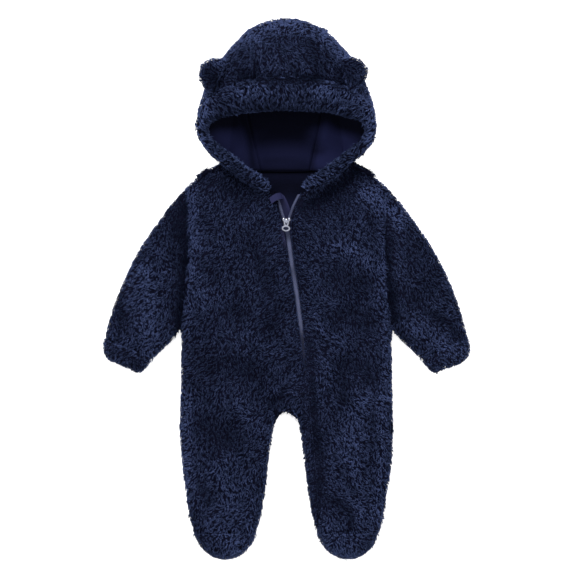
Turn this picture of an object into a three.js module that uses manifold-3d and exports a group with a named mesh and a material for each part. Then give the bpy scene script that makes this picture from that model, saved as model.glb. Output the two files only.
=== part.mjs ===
/*
 * Footed fleece suit for a baby, with a bear-eared hood, laid out flat on its back.
 *
 * Millimetres. +Z is up from the surface that the suit lies on, +Y points to the crown of the hood
 * and +X to the wearer's left. The origin lies on that surface, under the middle of the suit.
 *
 * Each mesh is one piece that a maker cuts and sews. The sherpa pieces are walls of backing and pile,
 * so their outer faces lie where the tips of the pile do. The front lies on the back, and only the
 * hood stands open, as a bowl whose mouth faces up.
 */
import * as THREE from "three";
import { mergeVertices } from "three/addons/utils/BufferGeometryUtils.js";
import Module from "manifold-3d";

const wasm = await Module();
wasm.setup();

// ---- Cloth ----
const WALL = 10; // sherpa: 1.5 of backing under 8.5 of pile
const JERSEY = 1.2; // lining of the hood and neck, and the guard behind the zip
const LINING_GAP = 1.2; // clear space between the hood and its lining
const SEAM_GAP = 0.4; // clear space between two pieces at a seam
const SEAM_HEIGHT = 11; // side seams, above the surface
const TOP_ROUND = 16; // the front reaches its full height this far in from an outline
const UNDER_ROUND = 12; // the back lies flat from this far in

// ---- Main levels along the suit ----
const SHOULDER_TIP = { x: 141, y: 139 };
const NECK_POINT = { x: 92, y: 174 };
const SHOULDER_BOW = 3; // the shoulder seam rises this far over a straight line
const NAPE_Y = 161; // the neck seam's middle
const UNDERARM_Y = 5;
const CROTCH = { y: -195, width: 18, rise: 22 }; // the arch between the legs, half an ellipse
const HEEL_SEAM_Y = -316;
const FOOT_SEAM_Y = -343;
const TOE = { x: 85.75, y: -330, width: 44.8, length: 50 }; // the toe's outline, part of an ellipse

// Outer edge of one half, from the shoulder's tip along the armhole and down the side and leg.
const SIDE = [
  { y: 139, x: 141 },
  { y: 102, x: 137 },
  { y: 67, x: 136 },
  { y: 25, x: 137 },
  { y: -17, x: 141 },
  { y: -60, x: 146 },
  { y: -123, x: 147 },
  { y: -185, x: 148.5 },
  { y: -250, x: 146.5 },
  { y: -291, x: 140 },
  { y: -325, x: 134.5 },
  { y: -343, x: 129 },
];

// Inner edge of one leg, below the arch.
const INNER_LEG = [
  { y: -195, x: 18 },
  { y: -213, x: 21 },
  { y: -235, x: 24 },
  { y: -258, x: 26.5 },
  { y: -280, x: 29.5 },
  { y: -308, x: 33.5 },
  { y: -325, x: 37.5 },
  { y: -343, x: 42.5 },
];

// Height of the cloth's upper face over the surface, down the middle of a front and leg.
const LOFT = [
  { y: 174, z: 23 },
  { y: 120, z: 25 },
  { y: 40, z: 27 },
  { y: -60, z: 26.5 },
  { y: -140, z: 27.5 },
  { y: -200, z: 26.5 },
  { y: -280, z: 25.5 },
  { y: -330, z: 29 },
  { y: -360, z: 34 },
  { y: -380, z: 33 },
];

// Outer and inner edges of one sleeve, from the armhole to the wrist, with the height of its upper face.
// Where inX is left out, the sleeve lies along the body's side.
const SLEEVE = [
  { outX: 141.2, outY: 139, inY: 5, z: 26 },
  { outX: 152, outY: 129, inY: -9, z: 26 },
  { outX: 166, outY: 113, inY: -23, z: 26 },
  { outX: 181, outY: 91, inY: -42, z: 26 },
  { outX: 197, outY: 68, inX: 147.6, inY: -60, z: 26.5 },
  { outX: 213, outY: 41, inX: 154, inY: -66, z: 26.5 },
  { outX: 226, outY: 15, inX: 160, inY: -73, z: 26.5 },
  { outX: 236.5, outY: -9, inX: 166, inY: -79, z: 26 },
  { outX: 247, outY: -41, inX: 174, inY: -88, z: 25.5 },
  { outX: 254.5, outY: -71, inX: 186, inY: -98.5, z: 22.5 },
];
const CUFF = [
  { outX: 254.7, outY: -71.4, inX: 186.2, inY: -98.9, z: 22.5 },
  { outX: 257.5, outY: -80, inX: 190, inY: -105, z: 27 },
  { outX: 257, outY: -91, inX: 196, inY: -112, z: 28 },
  { outX: 250, outY: -101, inX: 202, inY: -120, z: 25.5 },
];
const ARMHOLE_DIP = 5; // the cloth sinks in at the armhole seam
const SLEEVE_CLEAR = 0.7; // space between a sleeve and the body's side

// ---- Zip ----
const ZIP_FADE = 16; // the front makes room for the zip this far past its end
const ZIP_DIP = 5.5; // the pile lies lower beside the zip
const ZIP_TOP_Y = 131;
const ZIP_FORK_Y = 88; // the two chains part here, inside the slider
const SLIT_TOP_Y = 98; // above the slider the fronts' edges follow the open chains
const ZIP_END_Y = -315;
const CHAIN = { width: 2.8, low: 14.9, high: 17.3 }; // one side's teeth
const TAPE = { width: 11, low: 13.6, high: 14.5 };
const GUARD_Z = 12;
// Middle of the closed zip, and the width of the slit that the fronts leave over it.
const ZIP = [
  { y: 98, x: -0.2, slit: 12.6 },
  { y: 86, x: 0.2, slit: 11.6 },
  { y: 70, x: 2.6, slit: 9.2 },
  { y: 50, x: 4.8, slit: 7.8 },
  { y: 7, x: 12, slit: 7.4 },
  { y: -18, x: 15.6, slit: 7.2 },
  { y: -47, x: 19.3, slit: 6.8 },
  { y: -70, x: 22, slit: 5.4 },
  { y: -93, x: 24, slit: 3 },
  { y: -120, x: 26.4, slit: 1.2 },
  { y: -158, x: 31.2, slit: 1 },
  { y: -213, x: 36.8, slit: 1 },
  { y: -270, x: 42, slit: 1 },
  { y: -315, x: 44.6, slit: 1 },
];
// Each chain above the slider, as it lies open.
const OPEN_CHAIN = {
  right: [
    { y: 88, x: -1.3 },
    { y: 98, x: -4.2 },
    { y: 106, x: -6.9 },
    { y: 115, x: -9.4 },
    { y: 131, x: -14.8 },
  ],
  left: [
    { y: 88, x: 1.5 },
    { y: 98, x: 4 },
    { y: 106, x: 6.8 },
    { y: 115, x: 10 },
    { y: 131, x: 18.2 },
  ],
};

// ---- Folds: soft troughs, and ridges where depth is below 0, in the upper face ----
const FOLDS = [
  { x1: -47, y1: -130, x2: -40, y2: -170, bow: -6, depth: 4.5, width: 6 }, // right groin
  { x1: -40, y1: -170, x2: -20, y2: -194, bow: -4, depth: 5, width: 6 },
  { x1: -138, y1: -100, x2: -132, y2: -185, bow: 2, depth: 3.5, width: 6 }, // down the right side
  { x1: -131, y1: -195, x2: -124, y2: -262, bow: -3, depth: 3.5, width: 7 },
  { x1: -120, y1: -115, x2: -72, y2: -128, bow: 5, depth: 4, width: 13 }, // right hip
  { x1: -105, y1: -205, x2: -60, y2: -216, bow: 5, depth: 4.5, width: 20 }, // right knee
  { x1: -112, y1: -290, x2: -92, y2: -304, bow: 0, depth: 3.5, width: 13 },
  { x1: -36, y1: 45, x2: -24, y2: -52, bow: 7, depth: 3.5, width: 15 }, // beside the zip
  { x1: -106, y1: 20, x2: -58, y2: -34, bow: -8, depth: 2.8, width: 12 },
  { x1: -92, y1: 132, x2: -44, y2: 122, bow: 8, depth: 3, width: 12 }, // right shoulder
  { x1: 38, y1: 118, x2: 92, y2: 148, bow: -6, depth: 5, width: 13 }, // under the hood's left edge
  { x1: 50, y1: 32, x2: 128, y2: 14, bow: 5, depth: 4, width: 14 }, // left chest
  { x1: 64, y1: -48, x2: 118, y2: -62, bow: 6, depth: 3.8, width: 16 }, // left waist
  { x1: 92, y1: -124, x2: 74, y2: -166, bow: 6, depth: 4, width: 13 }, // left thigh
  { x1: 58, y1: 52, x2: 112, y2: 44, bow: -4, depth: -2, width: 13 },
  { x1: 66, y1: -255, x2: 58, y2: -302, bow: 4, depth: 3.8, width: 13 }, // left shin
  { x1: 66, y1: -300, x2: 92, y2: -312, bow: 4, depth: 3.5, width: 12 },
  { x1: 118, y1: -215, x2: 126, y2: -262, bow: -3, depth: 2.5, width: 9 },
  { x1: -226, y1: -18, x2: -236, y2: -70, bow: 5, depth: 4.5, width: 6 }, // right sleeve, over the cuff
  { x1: -196, y1: 24, x2: -160, y2: 10, bow: 4, depth: 2.6, width: 12 },
  { x1: -236, y1: -76, x2: -205, y2: -82, bow: 4, depth: 3.5, width: 7 },
  { x1: 232, y1: -48, x2: 238, y2: -66, bow: 3, depth: 7, width: 8 }, // left sleeve, over the cuff
  { x1: 190, y1: 20, x2: 206, y2: -46, bow: -8, depth: 3.5, width: 11 },
  { x1: 150, y1: 104, x2: 178, y2: 92, bow: 5, depth: -2.2, width: 12 },
  { x1: 196, y1: -88, x2: 226, y2: -70, bow: -4, depth: 3, width: 7 },
  { x1: -118, y1: -343, x2: -54, y2: -343, bow: 0, depth: 4, width: 5 }, // seams over the insteps
  { x1: 54, y1: -343, x2: 118, y2: -343, bow: 0, depth: 4, width: 5 },
];

// ---- Hood ----
// A row for each line that runs from the mouth's edge, over the brim and crown and back under the
// hood to the neck, from the middle of the forehead to the point where it meets the shoulder.
// edge: lip of the brim. seam: where the brim is sewn on. crown: the line's next point. rim: the
// furthest it reaches. floor: where it comes down on the surface. neckX: its place on the neck seam.
const HOOD = [
  {
    edge: [0, 246, 82], seam: [0, 290, 87], crown: [0, 334, 85],
    rim: [0, 382.5, 34], floor: [0, 350, 0], neckX: 0,
  },
  {
    edge: [46, 243, 80], seam: [47, 288, 84], crown: [48, 326, 81],
    rim: [50, 366, 33], floor: [42, 334, 0], neckX: 34,
  },
  {
    edge: [82, 237, 75], seam: [87, 275, 77], crown: [91, 299, 68],
    rim: [93, 322, 36], floor: [66, 292, 0], neckX: 56,
  },
  {
    edge: [104, 231, 68], seam: [112, 257, 66], crown: [116.5, 268, 55],
    rim: [116.5, 269, 40], floor: [78, 248, 0], neckX: 70,
  },
  {
    edge: [113, 220, 62], seam: [121.5, 229, 56], crown: [125, 228, 46],
    rim: [124, 226, 36], floor: [82, 212, 0], neckX: 80,
  },
  {
    edge: [107, 206, 54], seam: [117, 202, 47], crown: [119, 200, 39],
    rim: [115, 199, 29], floor: [88, 192, 2], neckX: 87,
  },
  {
    edge: [85, 190, 44], seam: [96, 179, 37], crown: [98.5, 178, 31],
    rim: [98, 178, 24], floor: [94, 177, 14], neckX: 92,
  },
];
// The brim goes on along the neckline, on top of the fronts, to the zip.
const BRIM_FRONT = [
  { edge: [54, 167, 35], seam: [66, 151, 33.5] },
  { edge: [20, 145, 31], seam: [31, 133, 31] },
];
const BRIM_THICK = [12, 12, 11.5, 10.5, 9, 8.5, 8, 7.5, 5.5]; // half the roll's thickness at each row
const CENTRE_PANEL_ROW = 1; // the hood's centre panel ends at this row of HOOD

// ---- Ears ----
const EAR = { width: 50, height: 36, thick: 12, cup: 9 };
const EARS = [
  { name: "ear_right", base: [-94, 290.5, 71.5], along: [-0.36, -0.93, 0.05], up: [-0.78, 0.28, 0.56] },
  { name: "ear_left", base: [82, 292, 81.5], along: [0.3, -0.95, 0.05], up: [0.82, 0.27, 0.5] },
];

const NECK_LINING = { half: 50, low: 98 };

// ---- Reading the tables ----

/** Value of a table's column at a place along its key column, on a smooth curve through the rows. */
function read(table, key, name, at) {
  const rows = table[0][key] < table.at(-1)[key] ? table : [...table].reverse();
  const t = Math.min(Math.max(at, rows[0][key]), rows.at(-1)[key]);
  let i = 0;
  while (i < rows.length - 2 && t > rows[i + 1][key]) i += 1;
  const slope = (a, b) => (b[name] - a[name]) / (b[key] - a[key]);
  const [a, b] = [rows[i], rows[i + 1]];
  const span = b[key] - a[key];
  const startSlope = i > 0 ? (slope(rows[i - 1], a) + slope(a, b)) / 2 : slope(a, b);
  const endSlope = i < rows.length - 2 ? (slope(a, b) + slope(b, rows[i + 2])) / 2 : slope(a, b);
  const u = (t - a[key]) / span;
  return (
    a[name] * (1 + 2 * u) * (1 - u) ** 2 +
    b[name] * u * u * (3 - 2 * u) +
    span * (startSlope * u * (1 - u) ** 2 - endSlope * u * u * (1 - u))
  );
}

const sideX = (y) => read(SIDE, "y", "x", y);

/** Half the space between the legs, which is 0 at the top of the arch. */
function innerX(y) {
  if (y <= CROTCH.y) return read(INNER_LEG, "y", "x", y);
  return CROTCH.width * Math.sqrt(Math.max(0, 1 - ((y - CROTCH.y) / CROTCH.rise) ** 2));
}

/** Points of the toe's outline, from the outer end of the foot seam round to the inner end. */
function toeArc(count) {
  const start = Math.asin((FOOT_SEAM_Y - TOE.y) / TOE.length);
  return Array.from({ length: count + 1 }, (_, i) => {
    const a = start + ((-Math.PI - 2 * start) * i) / count;
    return { x: TOE.x + TOE.width * Math.cos(a), y: TOE.y + TOE.length * Math.sin(a) };
  });
}

function range(from, to, count) {
  return Array.from({ length: count + 1 }, (_, i) => from + ((to - from) * i) / count);
}

// ---- Height of the cloth ----

// The outline of one half, in two runs: the shoulder, and from the underarm round the leg to the arch.
const SHOULDER_RUN = range(0, 1, 6).map((t) => ({
  x: NECK_POINT.x + (SHOULDER_TIP.x - NECK_POINT.x) * t,
  y: NECK_POINT.y + (SHOULDER_TIP.y - NECK_POINT.y) * t + SHOULDER_BOW * Math.sin(Math.PI * t),
}));
const BODY_RUN = [
  ...range(UNDERARM_Y, FOOT_SEAM_Y, 40).map((y) => ({ x: sideX(y), y })),
  ...toeArc(16).slice(1, -1),
  ...range(FOOT_SEAM_Y, CROTCH.y, 16).map((y) => ({ x: innerX(y), y })),
  ...range(0, Math.PI / 2, 8)
    .slice(1)
    .map((a) => ({ x: CROTCH.width * Math.cos(a), y: CROTCH.y + CROTCH.rise * Math.sin(a) })),
];
const SLEEVE_ROWS = [...SLEEVE, ...CUFF];
const SLEEVE_OUT_RUN = SLEEVE_ROWS.map((r) => ({ x: r.outX, y: r.outY }));
const sleeveInX = (r) => r.inX ?? sideX(r.inY) + SLEEVE_CLEAR;
const SLEEVE_IN_RUN = SLEEVE_ROWS.map((r) => ({ x: sleeveInX(r), y: r.inY }));

/**
 * Distance in plan from a place to the nearest of some runs of outline, with the direction that
 * leads from there into the cloth, which lies to the right of each run.
 */
function nearest(runs, x, y) {
  let best = { distance: Infinity };
  for (const run of runs)
    for (let i = 0; i + 1 < run.length; i += 1) {
      const [a, b] = [run[i], run[i + 1]];
      const [dx, dy] = [b.x - a.x, b.y - a.y];
      const t = Math.min(1, Math.max(0, ((x - a.x) * dx + (y - a.y) * dy) / (dx * dx + dy * dy)));
      const [px, py] = [x - a.x - t * dx, y - a.y - t * dy];
      const distance = Math.hypot(px, py);
      if (distance >= best.distance) continue;
      const long = Math.hypot(dx, dy);
      best = { distance, ux: dy / long, uy: -dx / long };
      if (distance > 0.2) best = { distance, ux: px / distance, uy: py / distance };
    }
  return best;
}

const bodyEdge = (x, y) => nearest([SHOULDER_RUN, BODY_RUN], Math.abs(x), y).distance;
const sleeveEdge = (x, y) => nearest([SLEEVE_OUT_RUN, SLEEVE_IN_RUN], Math.abs(x), y).distance;

/** From 0 at an outline to 1 where the cloth is at its full height, as a quarter of an ellipse. */
const rounding = (distance, radius) => Math.sqrt(1 - (1 - Math.min(1, distance / radius)) ** 2);

/** How far the folds press the upper face down at a place. */
function foldDepth(x, y) {
  let depth = 0;
  for (const f of FOLDS) {
    const [dx, dy] = [f.x2 - f.x1, f.y2 - f.y1];
    const length = Math.hypot(dx, dy);
    const along = ((x - f.x1) * dx + (y - f.y1) * dy) / (length * length);
    const t = Math.min(1, Math.max(0, along));
    const bowed = f.bow * Math.sin(Math.PI * t);
    const across = ((x - f.x1) * -dy + (y - f.y1) * dx) / length - bowed;
    const past = (along - t) * length;
    depth += f.depth * Math.exp(-(across * across + past * past) / (f.width * f.width));
  }
  return depth;
}

/** The middle of one side's chain at a level. */
function zipAt(side, y) {
  if (y > ZIP_FORK_Y) return read(OPEN_CHAIN[side], "y", "x", y);
  return read(ZIP, "y", "x", y) + (side === "right" ? -1 : 1) * (CHAIN.width / 2);
}

/** Edge of a front along the zip. */
function frontEdgeX(side, y) {
  const away = side === "right" ? -1 : 1;
  if (y > SLIT_TOP_Y) return zipAt(side, y) + away * 2.2;
  return read(ZIP, "y", "x", y) + (away * read(ZIP, "y", "slit", y)) / 2;
}

/** How near a place is to the zip, from 1 on it to 0 well away. */
function nearZip(x, y, reach) {
  if (y < ZIP_END_Y - ZIP_FADE) return 0;
  const away = Math.max(0, Math.min(Math.abs(x - zipAt("right", y)), Math.abs(x - zipAt("left", y))) - 2);
  const fade = Math.min(1, (y - ZIP_END_Y + ZIP_FADE) / ZIP_FADE);
  return fade * Math.exp(-((away / reach) ** 2));
}

/** Upper face of the body's cloth. */
function bodyTop(x, y) {
  const full = read(LOFT, "y", "z", y) - 2.5 * (Math.abs(x) / SIDE[0].x) ** 2;
  const armhole = y > UNDERARM_Y ? ARMHOLE_DIP * Math.exp(-(((Math.abs(x) - sideX(y)) / 7) ** 2)) : 0;
  const rise = full - SEAM_HEIGHT - foldDepth(x, y) - armhole - ZIP_DIP * nearZip(x, y, 8);
  return SEAM_HEIGHT + SEAM_GAP / 2 + rise * rounding(bodyEdge(x, y), TOP_ROUND);
}

const bodyUnder = (x, y) =>
  (SEAM_HEIGHT - SEAM_GAP / 2) * (1 - rounding(bodyEdge(x, y), UNDER_ROUND));

/** The level at which the inner faces of front and back meet. */
const parting = (x, y) => SEAM_HEIGHT - 0.8 * Math.min(1, bodyEdge(x, y) / UNDER_ROUND);

const neckSeamY = (x) => NAPE_Y + 13 * (Math.abs(x) / NECK_POINT.x) ** 3;

/** Unit normal of a height over the plan of the body, pointing up. */
function upNormal(height, x, y) {
  const step = 0.5;
  const mirror = x < 0 ? -1 : 1;
  const edge = nearest([SHOULDER_RUN, BODY_RUN], Math.abs(x), y);
  const [ux, uy] = [edge.ux * mirror, edge.uy];
  const inward = (height(x + ux * step, y + uy * step) - height(x, y)) / step;
  const beside = (height(x - uy * step, y + ux * step) - height(x + uy * step, y - ux * step)) / (2 * step);
  return point(beside * uy - inward * ux, -beside * ux - inward * uy, 1).normalize();
}

// ---- Turning grids of points into solids ----

const point = (x, y, z) => new THREE.Vector3(x, y, z);
const spot = (p) => `${p.x.toFixed(3)},${p.y.toFixed(3)},${p.z.toFixed(3)}`;

/** A closed geometry from points and four-sided faces, turned to face out. */
function solid(points, faces) {
  const index = faces.flatMap(([a, b, c, d]) => [a, b, c, a, c, d]);
  let geometry = new THREE.BufferGeometry()
    .setAttribute("position", new THREE.Float32BufferAttribute(points.flatMap((p) => [p.x, p.y, p.z]), 3))
    .setIndex(index);
  geometry = mergeVertices(geometry, 1e-3);
  const merged = [...geometry.index.array];
  const kept = [];
  for (let i = 0; i < merged.length; i += 3) {
    const [a, b, c] = merged.slice(i, i + 3);
    if (a !== b && b !== c && c !== a) kept.push([a, b, c]);
  }
  const at = (i) => new THREE.Vector3().fromBufferAttribute(geometry.attributes.position, i);
  const volume = kept.reduce((sum, [a, b, c]) => sum + at(a).dot(at(b).cross(at(c))), 0);
  return geometry.setIndex(kept.flatMap((f) => (volume < 0 ? [f[0], f[2], f[1]] : f)));
}

/** Unit normals of a grid, shared by points that lie in one place. */
function normals(grid, round) {
  const sums = new Map();
  const last = grid[0].length - (round ? 0 : 1);
  for (let r = 0; r + 1 < grid.length; r += 1)
    for (let c = 0; c < last; c += 1) {
      const next = (c + 1) % grid[0].length;
      const [p, q, s, t] = [grid[r][c], grid[r][next], grid[r + 1][next], grid[r + 1][c]];
      const normal = s.clone().sub(p).cross(t.clone().sub(q));
      for (const corner of [p, q, s, t]) {
        const sum = sums.get(spot(corner)) ?? sums.set(spot(corner), point(0, 0, 0)).get(spot(corner));
        sum.add(normal);
      }
    }
  return grid.map((row) => row.map((p) => sums.get(spot(p)).clone().normalize()));
}

/** Normals turned so that the one at the grid's highest point looks up. */
function outwardNormals(grid, round = false) {
  const n = normals(grid, round);
  let top = { z: -Infinity };
  for (const [r, row] of grid.entries())
    for (const [c, p] of row.entries()) if (p.z > top.z) top = { z: p.z, normal: n[r][c] };
  return top.normal.z < 0 ? n.map((row) => row.map((v) => v.negate())) : n;
}

/** A grid moved along normals. */
function offset(grid, distance, direction) {
  return grid.map((row, r) => row.map((p, c) => p.clone().addScaledVector(direction[r][c], distance)));
}

/** The solid between two grids. `round` joins the last column to the first. */
function wall(outer, inner, round = false) {
  const [rows, cols] = [outer.length, outer[0].length];
  const at = (layer, r, c) => (layer * rows + r) * cols + (c % cols);
  const faces = [];
  for (let r = 0; r + 1 < rows; r += 1)
    for (let c = 0; c < (round ? cols : cols - 1); c += 1) {
      faces.push([at(0, r, c), at(0, r, c + 1), at(0, r + 1, c + 1), at(0, r + 1, c)]);
      faces.push([at(1, r, c), at(1, r + 1, c), at(1, r + 1, c + 1), at(1, r, c + 1)]);
    }
  for (let c = 0; c < (round ? cols : cols - 1); c += 1) {
    faces.push([at(0, 0, c), at(1, 0, c), at(1, 0, c + 1), at(0, 0, c + 1)]);
    faces.push([at(0, rows - 1, c), at(0, rows - 1, c + 1), at(1, rows - 1, c + 1), at(1, rows - 1, c)]);
  }
  if (!round)
    for (let r = 0; r + 1 < rows; r += 1) {
      faces.push([at(0, r, 0), at(0, r + 1, 0), at(1, r + 1, 0), at(1, r, 0)]);
      faces.push([at(0, r, cols - 1), at(1, r, cols - 1), at(1, r + 1, cols - 1), at(0, r + 1, cols - 1)]);
    }
  return solid([...outer.flat(), ...inner.flat()], faces);
}

/** A solid roll through closed sections, shut at both ends. */
function roll(sections) {
  const middle = (section) =>
    section.reduce((sum, p) => sum.add(p), point(0, 0, 0)).divideScalar(section.length);
  const shrunk = (section) => section.map(() => middle(section));
  const all = [shrunk(sections[0]), ...sections, shrunk(sections.at(-1))];
  const cols = sections[0].length;
  const at = (r, c) => r * cols + (c % cols);
  const faces = [];
  for (let r = 0; r + 1 < all.length; r += 1)
    for (let c = 0; c < cols; c += 1)
      faces.push([at(r, c), at(r, c + 1), at(r + 1, c + 1), at(r + 1, c)]);
  return solid(all.flat(), faces);
}

function toManifold(geometry) {
  return new wasm.Manifold(
    new wasm.Mesh({
      numProp: 3,
      vertProperties: new Float32Array(geometry.attributes.position.array),
      triVerts: new Uint32Array(geometry.index.array),
    }),
  );
}

/** What is left of a geometry outside some others, as its largest body. */
function cut(geometry, tools) {
  let left = toManifold(geometry);
  for (const tool of tools) left = left.subtract(toManifold(tool));
  const largest = left.decompose().sort((a, b) => b.volume() - a.volume())[0];
  const mesh = largest.getMesh();
  return new THREE.BufferGeometry()
    .setAttribute("position", new THREE.BufferAttribute(new Float32Array(mesh.vertProperties), 3))
    .setIndex([...mesh.triVerts]);
}

// ---- Materials ----

const paint = (color, roughness, metalness = 0) =>
  new THREE.MeshStandardMaterial({ color, roughness, metalness });
const SHERPA = paint(0x1a2140, 0.95);
const LINING = paint(0x141935, 0.85);
const ZIP_TAPE = paint(0x3a4063, 0.6);
const STEEL = paint(0xaab0cc, 0.3, 0.9);

const suit = new THREE.Group();

function piece(name, geometry, material) {
  const mesh = new THREE.Mesh(geometry, material);
  mesh.name = name;
  suit.add(mesh);
}

// ---- Body: two fronts, two backs and the gusset ----

const EDGE_STEPS = [0, 1, 3.5, 8.5, 16]; // a front's columns crowd together near both ends of a row
const BACK_STEPS = [0, 1.2, 4.5, 12];

/** Shares of a row's width at which its points lie. */
function columns(length, middle, steps = EDGE_STEPS) {
  const width = Math.max(length, 0.1);
  const near = steps.map((s) => Math.min(s / width, 0.42 * (s / steps.at(-1))));
  const inside = range(near.at(-1), 1 - near.at(-1), middle + 1).slice(1, -1);
  return [...near, ...inside, ...[...near].reverse().map((s) => 1 - s)];
}

/** A panel's plan as rows of places between pairs of ends, on a line that may bow upwards. */
function planGrid(rows, middle, steps) {
  return rows.map(({ from, to, bow = 0 }) =>
    columns(Math.hypot(to.x - from.x, to.y - from.y), middle, steps).map((s) => ({
      x: from.x + (to.x - from.x) * s,
      y: from.y + (to.y - from.y) * s + bow * Math.sin(Math.PI * s),
    })),
  );
}

const zipDistance = (x, y) => Math.min(Math.abs(x - zipAt("right", y)), Math.abs(x - zipAt("left", y)));

/** Lowest place for the inner face of a front: on the back, or over the zip's chain and tape. */
function innerFloor(x, y) {
  const away = y < ZIP_END_Y - ZIP_FADE ? Infinity : zipDistance(x, y);
  if (away < 5) return CHAIN.high + SEAM_GAP;
  if (away < 20) return TAPE.high + SEAM_GAP;
  if (y > NECK_LINING.low - 6 && Math.abs(x) < NECK_LINING.half + 8) return WALL + JERSEY + 2 * SEAM_GAP;
  return parting(x, y) + SEAM_GAP / 2;
}

/**
 * The inner face of a front under a point of its outer one. The wall stands upright along the zip
 * and along the seam over the instep.
 */
function underFront(p, thick) {
  const n = upNormal(bodyTop, p.x, p.y);
  const lean = p.y < ZIP_END_Y - ZIP_FADE ? 1 : Math.min(1, Math.max(0, zipDistance(p.x, p.y) - 4) / 8);
  const leanAlong = lean * Math.min(1, Math.max(0, Math.abs(p.y - FOOT_SEAM_Y) - 1) / 8);
  const [x, y] = [p.x - n.x * thick * lean, p.y - n.y * thick * leanAlong];
  return point(x, y, Math.max(p.z - n.z * thick, innerFloor(x, y)));
}

const frontGrid = (plan) => plan.map((row) => row.map(({ x, y }) => point(x, y, bodyTop(x, y))));

/** A piece of the body's upper side. */
function frontPiece(plan, thick = WALL) {
  const outer = frontGrid(plan);
  return wall(outer, outer.map((row) => row.map((p) => underFront(p, thick))));
}

/** The inner face of a back over a point of its outer one. */
function overBack(p, thick) {
  const n = upNormal(bodyUnder, p.x, p.y);
  const inner = p.clone().addScaledVector(n, thick);
  inner.z = Math.min(inner.z, parting(inner.x, inner.y) - SEAM_GAP / 2);
  return inner;
}

const backGrid = (plan) => plan.map((row) => row.map(({ x, y }) => point(x, y, bodyUnder(x, y))));

/** A piece of the body's under side, flat where it rests. */
function backPiece(plan) {
  const outer = backGrid(plan);
  return wall(outer, outer.map((row) => row.map((p) => overBack(p, WALL))));
}

// Rows of a front: a level on its side edge, and the row's other end.
const NECK_ROWS = [
  { sideY: 139, x: 92, y: 174, bow: SHOULDER_BOW },
  { sideY: 131, x: 77, y: 166.5 },
  { sideY: 121, x: 59, y: 156 },
  { sideY: 110, x: 40, y: 143.5 },
];
const ZIP_ROWS = [
  { sideY: 98, y: 131 },
  { sideY: 86, y: 115 },
  { sideY: 72, y: 98 },
  { sideY: 48, y: 68 },
  { sideY: 24, y: 34 },
  { sideY: 3, y: 8 },
  { sideY: -20, y: -20 },
  { sideY: -46, y: -48 },
  { sideY: -74, y: -76 },
  { sideY: -102, y: -104 },
  { sideY: -124, y: -128 },
  { sideY: -138, y: -146 },
];
// The gusset's upper seam, from the zip to the right leg's side of the arch.
const GUSSET_SEAM = [
  { sideY: -150, x: 14, y: -147.4 },
  { sideY: -158, x: 4, y: -148.4 },
  { sideY: -168, x: -8, y: -153 },
  { sideY: -179, x: -15, y: -163 },
  { sideY: -190, x: -17, y: -178 },
];
const RIGHT_LEG_LEVELS = [-204, -222, -242, -264, -288, -310, -328];
const LEFT_LEG_LEVELS = [-160, -176, -196, -218, -242, -266, -290, -308];
const GUSSET_END = { y: -329 };
const GUSSET_WALL = 5; // its pile is pressed down beside the zip

const along = (side, y, gap = SEAM_GAP / 2) => ({ x: side * (sideX(y) - (y > UNDERARM_Y ? gap : 0)), y });
const mirrored = (side, p) => ({ x: side * p.x, y: p.y });

/** A front's last row, along the seam over the instep. */
const instepRow = (side) => {
  const y = FOOT_SEAM_Y + SEAM_GAP / 2;
  return { from: along(side, y), to: { x: side * innerX(y), y } };
};

/** Rows of a front from its shoulder down to the bottom of the open zip and the slit below it. */
const upperRows = (side, name) => [
  ...NECK_ROWS.map((r) => ({ from: along(side, r.sideY), to: mirrored(side, r), bow: r.bow })),
  ...ZIP_ROWS.map((r) => ({ from: along(side, r.sideY), to: { x: frontEdgeX(name, r.y), y: r.y } })),
];

function frontRightRows() {
  const beside = GUSSET_SEAM.map((r) => ({ x: r.x - SEAM_GAP, y: r.y + SEAM_GAP / 2 }));
  return [
    ...upperRows(-1, "right"),
    ...beside.map((to, i) => ({ from: along(-1, GUSSET_SEAM[i].sideY), to })),
    ...RIGHT_LEG_LEVELS.map((y) => ({ from: along(-1, y), to: { x: -innerX(y), y } })),
    instepRow(-1),
  ];
}

function frontLeftRows() {
  const { y } = GUSSET_END;
  return [
    ...upperRows(1, "left"),
    ...LEFT_LEG_LEVELS.map((level) => ({
      from: along(1, level),
      to: { x: frontEdgeX("left", level), y: level },
    })),
    { from: along(1, y), to: { x: innerX(y) + SEAM_GAP, y: y - SEAM_GAP } },
    instepRow(1),
  ];
}

/** The gusset, from its point on the right leg round the arch and down inside the left leg. */
function gussetRows() {
  const arch = (angle) => ({
    x: CROTCH.width * Math.cos(angle),
    y: CROTCH.y + CROTCH.rise * Math.sin(angle),
  });
  const seamEnds = [...GUSSET_SEAM].reverse().map((p) => ({ x: p.x + SEAM_GAP, y: p.y - SEAM_GAP }));
  const zipSide = (y) => ({ x: frontEdgeX("right", y), y });
  const legLevels = [-210, -228, -248, -268, -288, -304];
  const tip = { x: innerX(GUSSET_END.y + 2), y: GUSSET_END.y + 2 };
  return [
    ...seamEnds.map((to, i) => ({ from: arch(Math.PI * (0.9 - 0.11 * i)), to })),
    { from: arch(Math.PI * 0.36), to: zipSide(-148.6) },
    { from: arch(Math.PI * 0.22), to: zipSide(-158) },
    { from: arch(Math.PI * 0.08), to: zipSide(-174) },
    ...legLevels.map((y) => ({ from: { x: innerX(y), y }, to: zipSide(y + 8) })),
    { from: { x: innerX(-316), y: -316 }, to: { x: 42, y: -313 } },
    { from: tip, to: { x: tip.x + 1.5, y: tip.y + 0.6 } },
  ];
}

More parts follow.
